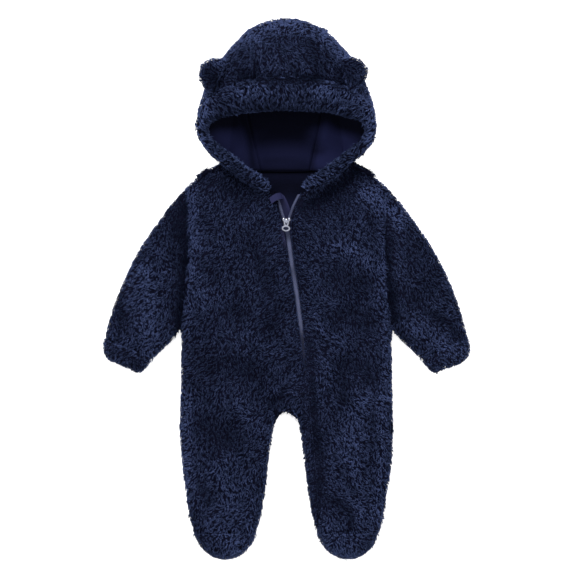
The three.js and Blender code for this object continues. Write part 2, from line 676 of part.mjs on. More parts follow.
/** One back: its rows run from the side to the middle, and below the arch to the inner leg. */
function backRows(side) {
  const levels = [94, 74, 52, 28, 5, -20, -50, -84, -116, -140, -158, -168];
  const middle = (y) => ({ x: side * SEAM_GAP * 0.5, y });
  const topEnds = [
    { sideY: 139, x: NECK_POINT.x, bow: SHOULDER_BOW },
    { sideY: 134, x: 78 },
    { sideY: 127, x: 60 },
    { sideY: 118, x: 34 },
    { sideY: 109, x: SEAM_GAP * 0.5 },
  ].map((r) => ({ ...r, y: neckSeamY(r.x) - SEAM_GAP / 2 }));
  const leg = [-177, -190, -210, -235, -262, -290, HEEL_SEAM_Y + SEAM_GAP / 2];
  return [
    ...topEnds.map((r) => ({ from: along(side, r.sideY), to: mirrored(side, r), bow: r.bow })),
    ...levels.map((y) => ({ from: along(side, y), to: middle(y + 14 * Math.max(0, (y - 5) / 93)) })),
    ...leg.map((y) => ({ from: along(side, y), to: { x: side * innerX(y), y } })),
  ];
}

function addBody() {
  piece("front_right", frontPiece(planGrid(frontRightRows(), 4)), SHERPA);
  piece("front_left", frontPiece(planGrid(frontLeftRows(), 4)), SHERPA);
  piece("gusset", frontPiece(planGrid(gussetRows(), 0), GUSSET_WALL), SHERPA);
  for (const [name, side] of [["back_right", -1], ["back_left", 1]])
    piece(name, backPiece(planGrid(backRows(side), 2, BACK_STEPS)), SHERPA);
}

// ---- Feet ----

const FOOT_INSET = 7; // the sole comes up over the toe this far in from the outline
const FOOT_COLUMNS = 12;
const FOOT_WALL = 7;
const UPPER_TIP = 2; // the foot's upper stays this deep at both ends of its seam

/** The toe's outline drawn in from its edge, by less towards its two ends. */
function insetArc(inset, endInset = 0) {
  return toeArc(FOOT_COLUMNS).map((p, i) => {
    const depth = endInset + (inset - endInset) * Math.sin((Math.PI * i) / FOOT_COLUMNS);
    const share = depth / Math.hypot(p.x - TOE.x, p.y - TOE.y);
    return { x: p.x + (TOE.x - p.x) * share, y: p.y + (TOE.y - p.y) * share };
  });
}

/** A straight line across the foot, with its points crowded near both ends. */
function acrossFoot(y, endInset = 0) {
  const [outer, inner] = [sideX(y) - endInset, innerX(y) + endInset];
  const share = (a) => (1 - Math.cos(a)) / 2;
  return range(0, Math.PI, FOOT_COLUMNS).map((a) => ({ x: outer + (inner - outer) * share(a), y }));
}

/** Lines between one across the foot and a curve. */
function spread(line, curve, count) {
  return range(0, 1, count)
    .slice(1)
    .map((k) => line.map((p, i) => ({ x: p.x + (curve[i].x - p.x) * k, y: p.y + (curve[i].y - p.y) * k })));
}

function addFeet() {
  const seamLine = acrossFoot(FOOT_SEAM_Y);
  const upperLine = acrossFoot(FOOT_SEAM_Y - 2 * SEAM_GAP, 1);
  const toeEdge = insetArc(FOOT_INSET, 1).map(({ x, y }) => ({ x, y: Math.min(y, FOOT_SEAM_Y - UPPER_TIP) }));
  const upperPlan = [upperLine, ...spread(upperLine, toeEdge, 3)];
  const underPlan = [
    acrossFoot(HEEL_SEAM_Y - SEAM_GAP),
    acrossFoot((HEEL_SEAM_Y + FOOT_SEAM_Y) / 2),
    seamLine,
    ...spread(seamLine, insetArc(UNDER_ROUND), 3),
    ...[5, 1.2, 0].map((inset) => insetArc(inset)),
  ];
  const overPlan = [0.8, 3, FOOT_INSET - SEAM_GAP - 0.2].map((inset) => insetArc(inset));
  for (const [name, side] of [["right", -1], ["left", 1]]) {
    const turned = (plan) => plan.map((row) => row.map(({ x, y }) => ({ x: side * x, y })));
    piece(`foot_upper_${name}`, frontPiece(turned(upperPlan), FOOT_WALL), SHERPA);
    const [under, over] = [backGrid(turned(underPlan)), frontGrid(turned(overPlan))];
    const inner = [
      ...under.map((row) => row.map((p) => overBack(p, FOOT_WALL))),
      ...over.map((row) => row.map((p) => underFront(p, FOOT_WALL))),
    ];
    piece(`foot_sole_${name}`, wall([...under, ...over], inner), SHERPA);
  }
}

// ---- Sleeves and cuffs ----

/** Rings of a flattened tube: over the top from its outer edge to its inner one, and back underneath. */
function flatRings(rows, side, middle) {
  return rows.map((r) => {
    const [dx, dy] = [sleeveInX(r) - r.outX, r.inY - r.outY];
    const plan = columns(Math.hypot(dx, dy), middle).map((s) => {
      const [x, y] = [r.outX + dx * s, r.outY + dy * s];
      return { x: r.armhole ? sideX(y) + SEAM_GAP : x, y };
    });
    const over = plan.map(({ x, y }) => {
      const rise = r.z - SEAM_HEIGHT - foldDepth(side * x, y);
      return point(side * x, y, SEAM_HEIGHT + rise * rounding(sleeveEdge(x, y), TOP_ROUND));
    });
    const below = plan
      .slice(1, -1)
      .reverse()
      .map(({ x, y }) => point(side * x, y, SEAM_HEIGHT * (1 - rounding(sleeveEdge(x, y), UNDER_ROUND))));
    return [...over, ...below];
  });
}

/** A flattened tube of cloth, each ring in its own plane, with its inner faces held just apart. */
function flatTube(rings) {
  const over = rings[0].length / 2;
  const normal = outwardNormals(rings, true);
  const inner = rings.map((ring, r) => {
    const line = ring[over].clone().sub(ring[0]).setZ(0).normalize();
    return ring.map((p, c) => {
      const n = line.clone().multiplyScalar(normal[r][c].dot(line)).setZ(normal[r][c].z).normalize();
      const q = p.clone().addScaledVector(n, -WALL);
      return q.setZ(c <= over ? Math.max(q.z, WALL + SEAM_GAP) : Math.min(q.z, WALL));
    });
  });
  return wall(rings, inner, true);
}

function addSleeves() {
  const [first, ...others] = SLEEVE;
  const rows = [{ ...first, z: first.z - ARMHOLE_DIP, armhole: true }, ...others];
  for (const [name, side] of [["right", -1], ["left", 1]]) {
    piece(`sleeve_${name}`, flatTube(flatRings(rows, side, 3)), SHERPA);
    piece(`cuff_${name}`, flatTube(flatRings(CUFF, side, 0)), SHERPA);
  }
}

// ---- Hood ----

/** Where a line of the hood meets the neck seam, as high as the backs there. */
function neckEnd(x) {
  const y = neckSeamY(x) + 1.5 * SEAM_GAP;
  return [x, y, bodyUnder(x, y - 2 * SEAM_GAP)];
}

/** A row of the hood's table between its rows; past either middle row it is mirrored. */
function hoodRow(at) {
  const side = at < 0 ? -1 : 1;
  const rows = Math.abs(at);
  const keyed = HOOD.map((r, i) => ({ i, ...r, neck: neckEnd(r.neckX) }));
  const place = (name) =>
    [0, 1, 2].map((axis) => {
      const table = keyed.map((r) => ({ i: r.i, v: r[name][axis] }));
      const reflected = { i: -1, v: table[1].v * (axis === 0 ? -1 : 1) };
      return read([reflected, ...table], "i", "v", rows) * (axis === 0 ? side : 1);
    });
  return ["seam", "crown", "rim", "floor", "neck"].map(place);
}

const HOOD_STEPS = 11;

/** Points of the hood's outer face along one line, from the brim's seam to the neck. */
function hoodLine(at) {
  const [seam, crown, rim, floor, neck] = hoodRow(at).map((p) => point(...p));
  const under = floor.clone().lerp(neck, 0.5);
  const curve = new THREE.CatmullRomCurve3([seam, crown, rim, floor, under, neck], false, "centripetal");
  return curve.getSpacedPoints(HOOD_STEPS).map((p) => point(p.x, p.y, Math.max(0, p.z)));
}

// Places in the hood's table of the lines that its panels are made on.
const HOOD_LINES = (() => {
  const [seam, last] = [CENTRE_PANEL_ROW, HOOD.length - 1];
  const gap = 0.006; // about 0.3 mm across a seam
  const side = range(seam + gap, last, 8);
  const centre = range(-seam + gap, seam - gap, 4);
  return { side_right: [...side].reverse().map((v) => -v), centre, side_left: side };
})();

function addHood() {
  const names = Object.keys(HOOD_LINES);
  const outer = names.flatMap((name) => HOOD_LINES[name]).map(hoodLine);
  const normal = outwardNormals(outer);
  for (const end of [HOOD_LINES.side_right.length, HOOD_LINES.side_right.length + HOOD_LINES.centre.length])
    for (const [c, n] of normal[end].entries()) {
      n.add(normal[end - 1][c]).normalize();
      normal[end - 1][c].copy(n);
    }
  const layer = (depth) => offset(outer, -depth, normal);
  const brim = [roll(brimSections(SEAM_GAP))];
  const lined = [WALL + LINING_GAP, WALL + LINING_GAP + JERSEY].map((depth) =>
    layer(depth).map((row) => row.map((p) => p.setZ(Math.max(p.z, depth)))),
  );
  let first = 0;
  for (const name of names) {
    const rows = (grid) => grid.slice(first, first + HOOD_LINES[name].length);
    piece(`hood_${name}`, cut(wall(rows(outer), rows(layer(WALL))), brim), SHERPA);
    piece(`hood_lining_${name}`, cut(wall(...lined.map(rows)), brim), LINING);
    first += HOOD_LINES[name].length;
  }
  piece("hood_brim", roll(brimSections(0)), SHERPA);
  return [wall(offset(outer, SEAM_GAP, normal), layer(WALL)), ...brim];
}

/** Sections of the brim's roll, from one end at the zip round the mouth to the other. */
function brimSections(grow) {
  const oneSide = [...HOOD, ...BRIM_FRONT].map((r, i) => ({ ...r, thick: BRIM_THICK[i] }));
  const flipX = ([x, y, z]) => [-x, y, z];
  const flipped = (r) => ({ ...r, edge: flipX(r.edge), seam: flipX(r.seam) });
  const rows = [...oneSide.slice(1).reverse().map(flipped), ...oneSide];
  const edge = new THREE.CatmullRomCurve3(rows.map((r) => point(...r.edge)), false, "centripetal");
  const seam = new THREE.CatmullRomCurve3(rows.map((r) => point(...r.seam)), false, "centripetal");
  const count = 36;
  const around = 10;
  return range(0, 1, count).map((t) => {
    const [e, s] = [edge.getPoint(t), seam.getPoint(t)];
    const centre = e.clone().lerp(s, 0.5);
    const half = s.clone().sub(e).multiplyScalar(0.5);
    const across = half.clone().setLength(half.length() + grow);
    const run = edge.getTangent(t);
    const up = run.clone().cross(across).normalize();
    const thick = read(rows.map((r, i) => ({ i, v: r.thick })), "i", "v", t * (rows.length - 1));
    const endRound = Math.sqrt(1 - (1 - Math.min(1, Math.min(t, 1 - t) / 0.025 + 0.25)) ** 2);
    return range(0, 2 * Math.PI, around)
      .slice(0, -1)
      .map((a) => {
        const squared = (v) => Math.sign(v) * Math.abs(v) ** 0.8;
        return centre
          .clone()
          .addScaledVector(across, squared(Math.cos(a)) * endRound)
          .addScaledVector(up, squared(Math.sin(a)) * (thick + grow) * endRound);
      });
  });
}

/** A stuffed half disc, cupped towards the face of the ear, cut to sit on the hood. */
function addEars(seat) {
  for (const ear of EARS) {
    const alongBase = point(...ear.along).normalize();
    const up = point(...ear.up).addScaledVector(alongBase, -point(...ear.up).dot(alongBase)).normalize();
    const facing = alongBase.clone().cross(up);
    const base = point(...ear.base);
    const grid = (face) =>
      range(0, Math.PI, 10).map((a) =>
        range(0, 1, 3).map((k) => {
          const r = Math.sin((k * Math.PI) / 2);
          const [x, y] = [r * Math.cos(a), r * Math.sin(a)];
          const bulge = (face * EAR.thick * Math.sqrt(Math.max(0, 1 - r ** 4))) / 2;
          const cup = EAR.cup * (x * x + 0.4 * y * y) * Math.min(1, y + 0.35);
          return base
            .clone()
            .addScaledVector(alongBase, (x * EAR.width) / 2)
            .addScaledVector(up, y * EAR.height)
            .addScaledVector(facing, (bulge + cup) * Math.sign(facing.z || 1));
        }),
      );
    piece(ear.name, cut(wall(grid(1), grid(-1)), seat), SHERPA);
  }
}

/** The lining of the backs, as far down as the open neck shows it. */
function addNeckLining() {
  const z = WALL + SEAM_GAP;
  const { half, low } = NECK_LINING;
  const levels = range(NAPE_Y - SEAM_GAP, low, 4);
  const grid = (height) => levels.map((y) => range(-half, half, 6).map((x) => point(x, y, height)));
  piece("neck_lining", wall(grid(z + JERSEY), grid(z)), LINING);
}

// ---- Zip ----

/** A flat strip between two edges given at each level. */
function strip(levels, from, to, low, high) {
  const grid = (z) => levels.map((y) => [point(from(y), y, z), point(to(y), y, z)]);
  return wall(grid(high), grid(low));
}

const ZIP_LEVELS = [ZIP_TOP_Y, 123, 115, 106, 98, ZIP_FORK_Y, ...range(70, ZIP_END_Y, 11)];
const SLIDER = { y: 92, width: 10.4, length: 11, plate: 1.6 };
const PULL = { bar: 1, thick: 1.6, hingeZ: 24.2 };

function addZip() {
  for (const [name, away] of [["right", -1], ["left", 1]]) {
    const chainEdge = (y) => zipAt(name, y) - (away * (CHAIN.width - SEAM_GAP)) / 2;
    const tapeEdge = (y) => {
      const x = chainEdge(y) + away * TAPE.width;
      return y < CROTCH.y && away < 0 ? Math.max(x, innerX(y) + 6) : x;
    };
    const tape = strip(ZIP_LEVELS, chainEdge, tapeEdge, TAPE.low, TAPE.high);
    piece(`zip_tape_${name}`, tape, ZIP_TAPE);
    const chain = strip(
      ZIP_LEVELS,
      chainEdge,
      (y) => chainEdge(y) + away * (CHAIN.width - SEAM_GAP),
      CHAIN.low,
      CHAIN.high,
    );
    piece(`zip_chain_${name}`, chain, ZIP_TAPE);
  }
}

/** The strip of jersey behind the open zip, with its top folded forward over the right tape's end. */
function addGuard() {
  const levels = [132, 128, 121, 114, 106, 98, 86, 72, 58];
  const left = (y) => (y > 98 ? zipAt("right", y) - 6 : read(ZIP, "y", "x", y) - 9);
  const bulge = [
    { y: 132, x: -7.5 },
    { y: 128, x: -2.8 },
    { y: 121, x: 0.8 },
    { y: 114, x: 3.6 },
    { y: 106, x: 5.8 },
    { y: 58, x: 9 },
  ];
  const right = (y) => read(bulge, "y", "x", y);
  piece("zip_guard", strip(levels, left, right, GUARD_Z, GUARD_Z + JERSEY), LINING);

  const path = [
    [-8.4, 131, 13.6],
    [-7.4, 132, 18],
    [-9, 132.5, 22],
    [-14, 131.5, 26],
    [-20, 128.5, 27.4],
    [-24, 125, 27],
  ].map((p) => point(...p));
  const curve = new THREE.CatmullRomCurve3(path, false, "centripetal");
  const lengthwise = point(0.38, -0.92, 0).multiplyScalar(9);
  const across = (p) => [0, 0.5, 1].map((share) => p.clone().addScaledVector(lengthwise, share));
  const grid = curve.getSpacedPoints(12).map(across);
  piece("zip_guard_fold", wall(grid, offset(grid, -JERSEY, outwardNormals(grid))), LINING);
}

const plateOf = (shape, depth, curveSegments) =>
  new THREE.ExtrudeGeometry(shape, { depth, bevelEnabled: false, curveSegments });

/** Slider: a shield-shaped plate over the chains with a flange down each side and a bail on top. */
function addSlider() {
  const x = read(ZIP, "y", "x", SLIDER.y);
  const half = SLIDER.width / 2;
  const outline = new THREE.Shape();
  outline.moveTo(-half, SLIDER.length / 2 - 1);
  outline.quadraticCurveTo(-half, SLIDER.length / 2, -half + 1, SLIDER.length / 2);
  outline.lineTo(half - 1, SLIDER.length / 2);
  outline.quadraticCurveTo(half, SLIDER.length / 2, half, SLIDER.length / 2 - 1);
  outline.lineTo(half * 0.78, -SLIDER.length / 2);
  outline.lineTo(-half * 0.78, -SLIDER.length / 2);
  outline.closePath();
  const plate = plateOf(outline, SLIDER.plate, 4);
  plate.translate(x, SLIDER.y, CHAIN.high + SEAM_GAP);
  piece("zip_slider", plate, STEEL);

  const bail = new THREE.Shape();
  const low = 0;
  const top = PULL.hingeZ - (CHAIN.high + SEAM_GAP + SLIDER.plate) + PULL.bar + 1.6;
  bail.moveTo(-3.4, low);
  bail.lineTo(-3.4, top - 2);
  bail.quadraticCurveTo(-3.4, top, -1.4, top);
  bail.lineTo(1.6, top);
  bail.quadraticCurveTo(3.6, top, 3.6, top - 2);
  bail.lineTo(3.6, low);
  bail.lineTo(2.4, low);
  bail.lineTo(2.4, top - 2);
  bail.quadraticCurveTo(2.4, top - 1.1, 1.5, top - 1.1);
  bail.lineTo(-1.3, top - 1.1);
  bail.quadraticCurveTo(-2.2, top - 1.1, -2.2, top - 2);
  bail.lineTo(-2.2, low);
  bail.closePath();
  const strap = plateOf(bail, 2.4, 4);
  strap.rotateX(Math.PI / 2).rotateZ(Math.PI / 2);
  strap.translate(x - 1.2, SLIDER.y + 1, CHAIN.high + SEAM_GAP + SLIDER.plate + 0.05);
  piece("zip_bail", strap, STEEL);
}

/** Pull: a yoke whose bar lies under the bail, ending in an oval ring. It hangs towards the feet. */
function addPull() {
  const x = read(ZIP, "y", "x", SLIDER.y);
  const shape = new THREE.Shape();
  shape.moveTo(-3.4, 0.8);
  shape.lineTo(3.4, 0.8);
  shape.lineTo(3.6, -1);
  shape.quadraticCurveTo(3.2, -4.6, 2.4, -6.5);
  shape.absellipse(0, -10.3, 5.8, 4.1, Math.PI / 2 - 0.42, -Math.PI * 1.5 + 0.42, true);
  shape.lineTo(-2.4, -6.5);
  shape.quadraticCurveTo(-3.2, -4.6, -3.6, -1);
  shape.closePath();
  const slot = new THREE.Path();
  slot.moveTo(-2, -0.8);
  slot.lineTo(-1.1, -5.2);
  slot.lineTo(1.1, -5.2);
  slot.lineTo(2, -0.8);
  slot.closePath();
  const ring = new THREE.Path();
  ring.absellipse(0, -10.4, 3.9, 2.3, 0, Math.PI * 2, false);
  shape.holes.push(slot, ring);
  const pull = plateOf(shape, PULL.thick, 9);
  pull.translate(x, SLIDER.y + 1, PULL.hingeZ - PULL.thick / 2);
  piece("zip_pull", pull, STEEL);
}

addBody();
addFeet();
addSleeves();
addEars(addHood());
addNeckLining();
addZip();
addGuard();
addSlider();
addPull();

export default suit;
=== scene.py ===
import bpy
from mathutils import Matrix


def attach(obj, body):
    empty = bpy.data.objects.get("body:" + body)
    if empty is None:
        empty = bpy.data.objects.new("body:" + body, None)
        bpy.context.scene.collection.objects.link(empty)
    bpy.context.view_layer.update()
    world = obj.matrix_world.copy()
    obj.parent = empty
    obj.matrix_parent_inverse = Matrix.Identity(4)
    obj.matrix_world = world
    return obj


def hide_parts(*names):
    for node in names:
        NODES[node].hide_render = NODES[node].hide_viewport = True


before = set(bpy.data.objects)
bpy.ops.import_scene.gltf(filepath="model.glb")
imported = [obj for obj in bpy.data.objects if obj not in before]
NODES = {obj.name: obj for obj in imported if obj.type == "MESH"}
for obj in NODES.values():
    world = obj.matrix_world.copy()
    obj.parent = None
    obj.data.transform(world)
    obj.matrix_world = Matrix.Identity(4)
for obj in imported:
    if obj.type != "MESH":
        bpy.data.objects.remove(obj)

"""A baby's footed romper in curly navy sherpa, laid out flat on its back.

Every sherpa panel is a thin backing cloth, made from the outer face of the panel's solid and drawn
in by most of the height of the pile, with small curved locks of pile standing on it. The hood is
lined with plain jersey, and the slanting zip is a nylon coil with a metal slider. Lengths are in
metres, and the tables of folds are in millimetres.
"""

import math

import bmesh
import bpy
import numpy as np
from mathutils import Matrix, Vector
from mathutils.bvhtree import BVHTree

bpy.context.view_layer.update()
ROMPER, PULL_TAB = "romper", "zip_pull_tab"  # the bodies that the pieces ride on
MM = 0.001
SAME_PLACE = 1e-6  # points of a solid nearer than this are one
OFF_FACE = 1e-5  # a ray starts this far off its own face

# ---- Cloth and pile ----
DRAW_IN = 2.4 * MM  # how far the backing lies inside the outer face of its solid
BACKING = 1.6 * MM
JERSEY = 0.9 * MM
SEAM_REACH = 1.6 * MM  # a face with another piece nearer than this lies in a seam
SLIT_REACH = 13 * MM  # the two fronts face each other across the zip from within this
INSIDE_REACH = 90 * MM  # across the hollow inside of the body, a leg or a foot
HOOD_REACH = 6 * MM  # between the hood's panels and its lining
OWN_REACH = 25 * MM  # a piece's own wall nearer than this is across its inside
RAY_LENGTH = 0.25
# How far up faces look, from -1 to 1: the outside of the back looks down by more than OUTER_BACK,
# cloth that rests on the floor by more than RESTS, and the neck's lining shows where it looks up by
# more than NECK_UP.
OUTER_BACK, RESTS, NECK_UP = -0.2, -0.5, 0.5
PRESSED_FULLY = 2.5 * MM  # another piece this near lies right against a face
PRESSED_REACH = 13 * MM  # and one this far off does not press it
FLOOR_GAP = 0.1 * MM

# How the pile grows on each panel. strands: how many stand on a square centimetre. length and
# tall: of one strand along the cloth and above it, in millimetres. comb: the way that the pile
# lies. swirl: how far, in radians, it wanders from that. coarse: its thickness, and spread: how
# much its locks differ in tone, against the other panels.
PANELS = {
    "front_right": dict(strands=43, length=4.2, tall=3.0, comb=(-0.35, -1, 0), swirl=0.9),
    "front_left": dict(strands=43, length=4.2, tall=3.0, comb=(0.5, -1, 0), swirl=0.9),
    "gusset": dict(strands=44, length=4.6, tall=2.7, comb=(0, -1, 0), swirl=0.7),
    "sleeve_right": dict(strands=44, length=4.3, tall=3.0, comb=(-0.5, -0.8, 0), swirl=1.0),
    "sleeve_left": dict(strands=44, length=4.3, tall=3.0, comb=(0.5, -0.8, 0), swirl=1.0),
    "cuff_right": dict(strands=44, length=4.3, tall=3.0, comb=(-0.4, -0.9, 0), swirl=0.8),
    "cuff_left": dict(strands=44, length=4.3, tall=3.0, comb=(0.4, -0.9, 0), swirl=0.8),
    "foot_upper_right": dict(strands=44, length=4.4, tall=3.0, comb=(-0.2, -1, 0), swirl=0.8),
    "foot_upper_left": dict(strands=44, length=4.4, tall=3.0, comb=(0.2, -1, 0), swirl=0.8),
    "foot_sole_right": dict(strands=44, length=4.4, tall=3.0, comb=(-0.2, -1, 0), swirl=0.8),
    "foot_sole_left": dict(strands=44, length=4.4, tall=3.0, comb=(0.2, -1, 0), swirl=0.8),
    "hood_centre": dict(strands=44, length=4.5, tall=3.2, comb=(0.1, -1, 0), swirl=0.9),
    "hood_side_right": dict(strands=44, length=4.5, tall=3.2, comb=(-0.6, -1, 0), swirl=0.9),
    "hood_side_left": dict(strands=44, length=4.5, tall=3.2, comb=(0.6, -1, 0), swirl=0.9),
    "hood_brim": dict(strands=38, length=6.4, tall=3.6, comb="mouth", swirl=0.6, coarse=1.15, spread=1.3),
    "ear_right": dict(strands=56, length=5.0, tall=3.2, comb=(-0.8, 0.3, 0.5), swirl=0.8),
    "ear_left": dict(strands=56, length=5.4, tall=3.6, comb=(0.8, 0.3, 0.5), swirl=0.8),
    "back_right": dict(strands=40, length=5.8, tall=3.0, comb=(-0.2, -1, 0), swirl=1.0),
    "back_left": dict(strands=40, length=5.8, tall=3.0, comb=(0.2, -1, 0), swirl=1.0),
}
FULLER = {"hood": 0.5, "ear_": 0.0}  # the share of DRAW_IN on the hood's panels and the ears
MOUTH = Vector((0, 0.19, 0.06))  # the pile of the hood's band lies towards this

rng = np.random.default_rng(7)


# ---- Reading the solids ----


def solid_arrays(name):
    """A solid's points and triangles, with points in one place merged."""
    mesh = bmesh.new()
    mesh.from_mesh(NODES[name].data)
    bmesh.ops.remove_doubles(mesh, verts=mesh.verts, dist=SAME_PLACE)
    bmesh.ops.triangulate(mesh, faces=mesh.faces)
    points = np.array([v.co for v in mesh.verts])
    faces = np.array([[v.index for v in f.verts] for f in mesh.faces])
    mesh.free()
    return points, faces


def all_solids():
    """One search tree of every solid, with the name that each of its faces belongs to."""
    points, faces, owners, start = [], [], [], 0
    for name in sorted(NODES):
        p, f = solid_arrays(name)
        points.append(p)
        faces.append(f + start)
        owners += [name] * len(f)
        start += len(p)
    tree = BVHTree.FromPolygons(np.concatenate(points).tolist(), np.concatenate(faces).tolist())
    return tree, owners


SOLIDS, OWNERS = all_solids()
SLIT_PIECES = {"front_right", "front_left", "gusset"}
BODY_PIECES = ("front", "back", "gusset", "zip", "neck", "hood", "foot")


def lies_open(name, centre, normal):
    """True where a face of a solid shows, and False in a seam, in the zip's slit or on the inside."""
    hit, _, face, distance = SOLIDS.ray_cast(centre + normal * OFF_FACE, normal, RAY_LENGTH)
    if hit is None:
        return True
    other = OWNERS[face]
    if name.startswith("back") and other.startswith(BODY_PIECES) and normal.z > OUTER_BACK:
        return distance > INSIDE_REACH
    if name.startswith("foot") and other.startswith(BODY_PIECES) and other.endswith(name[-5:]):
        return distance > INSIDE_REACH
    if name in SLIT_PIECES and (other in SLIT_PIECES or other.startswith(("back", "zip"))):
        return distance > SLIT_REACH
    if name.startswith(("ear", "hood_brim")) or other.startswith("ear"):
        return distance > SEAM_REACH
    if name.startswith("hood") and other.startswith(("hood", "neck")):
        return distance > HOOD_REACH
    if other == name:
        return distance > OWN_REACH
    return distance > SEAM_REACH


def pressed(name, point, normal):
    """1 where another piece lies right against a face of a solid, down to 0 out of its reach."""
    point, normal, gone = Vector(point), Vector(normal), 0.0
    while gone < PRESSED_REACH:
        hit, _, face, distance = SOLIDS.ray_cast(point + normal * OFF_FACE, normal, PRESSED_REACH)
        if hit is None:
            return 0.0
        gone += distance
        if OWNERS[face] != name:
            return float(np.interp(gone, [PRESSED_FULLY, PRESSED_REACH], [1, 0]))
        point = hit + normal * OFF_FACE
    return 0.0


def open_faces(name, shows=None, levels=2):
    """A mesh of the faces of a solid that show, smoothed into one even sheet."""
    mesh = bmesh.new()
    mesh.from_mesh(NODES[name].data)
    bmesh.ops.remove_doubles(mesh, verts=mesh.verts, dist=SAME_PLACE)
    mesh.normal_update()
    shows = shows or (lambda f: lies_open(name, f.calc_center_median(), f.normal))
    hidden = [f for f in mesh.faces if not shows(f)]
    bmesh.ops.delete(mesh, geom=hidden, context="FACES")
    bmesh.ops.join_triangles(
        mesh, faces=mesh.faces, angle_face_threshold=0.9, angle_shape_threshold=1.6,
        cmp_seam=False, cmp_sharp=False, cmp_uvs=False, cmp_vcols=False, cmp_materials=False,
    )
    drop_scraps(mesh)
    data = bpy.data.meshes.new(name)
    mesh.to_mesh(data)
    mesh.free()
    sheet = added(name + "_sheet", data)
    smooth = sheet.modifiers.new("smooth", "SUBSURF")
    smooth.levels = levels
    smooth.boundary_smooth = "PRESERVE_CORNERS"
    return applied(sheet)


def drop_scraps(mesh, least=6):
    """Deletes islands of fewer faces than a panel has."""
    seen = set()
    for face in list(mesh.faces):
        if face in seen:
            continue
        island, edge = {face}, [face]
        while edge:
            for e in edge.pop().edges:
                for near in e.link_faces:
                    if near not in island:
                        island.add(near)
                        edge.append(near)
        seen |= island
        if len(island) < least:
            bmesh.ops.delete(mesh, geom=list(island), context="FACES")


def applied(thing):
    """The object with its modifiers made part of its mesh."""
    graph = bpy.context.evaluated_depsgraph_get()
    data = bpy.data.meshes.new_from_object(thing.evaluated_get(graph))
    thing.modifiers.clear()
    thing.data = data
    return thing


def point_normals(data):
    """Points of a mesh and their unit normals."""
    points = np.zeros(len(data.vertices) * 3)
    data.vertices.foreach_get("co", points)
    normals = np.zeros(len(data.vertices) * 3)
    data.vertices.foreach_get("normal", normals)
    return points.reshape(-1, 3), normals.reshape(-1, 3)


def move_points(data, points):
    """Sets the places of a mesh's points."""
    data.vertices.foreach_set("co", points.ravel())
    data.update()


def added(name, data):
    """A new object in the scene with this mesh, camera or lamp."""
    thing = bpy.data.objects.new(name, data)
    bpy.context.scene.collection.objects.link(thing)
    return thing


def finished(data, material, smooth=True):
    """Gives a mesh one finish all over."""
    data.materials.clear()
    data.materials.append(material)
    for face in data.polygons:
        face.use_smooth = smooth


def marked(data, label, values):
    """Gives the points of a mesh a value that its material reads, one for all or one for each."""
    values = (np.zeros(len(data.vertices)) + values).astype(np.float32)
    mark = data.attributes.get(label) or data.attributes.new(label, "FLOAT", "POINT")
    mark.data.foreach_set("value", values)


# ---- Soft unevenness ----


WAVE_RANGE = (0.6, 1.5)  # how many waves run over a field's size, least and most
WAVE_LEVEL = 0.55  # the sum of the waves rarely passes this share of their number


def waves(seed, size, count=7):
    """A smooth random field over space, mostly from -1 to 1, with features of about the size given."""
    source = np.random.default_rng(seed)
    direction = source.normal(size=(count, 3))
    direction /= np.linalg.norm(direction, axis=1)[:, None]
    turns = direction * (source.uniform(*WAVE_RANGE, (count, 1)) * 2 * math.pi / size)
    phase = source.uniform(0, 2 * math.pi, count)
    return lambda p: np.sin(p @ turns.T + phase).sum(1) / (WAVE_LEVEL * count)


SWELL = waves(11, 75 * MM)
LUMPS = waves(12, 26 * MM)
SWIRL = waves(13, 55 * MM)
SMALL_SWIRL = waves(14, 18 * MM)
BRUSHED = waves(15, 48 * MM)
TUFTS = waves(16, 14 * MM)
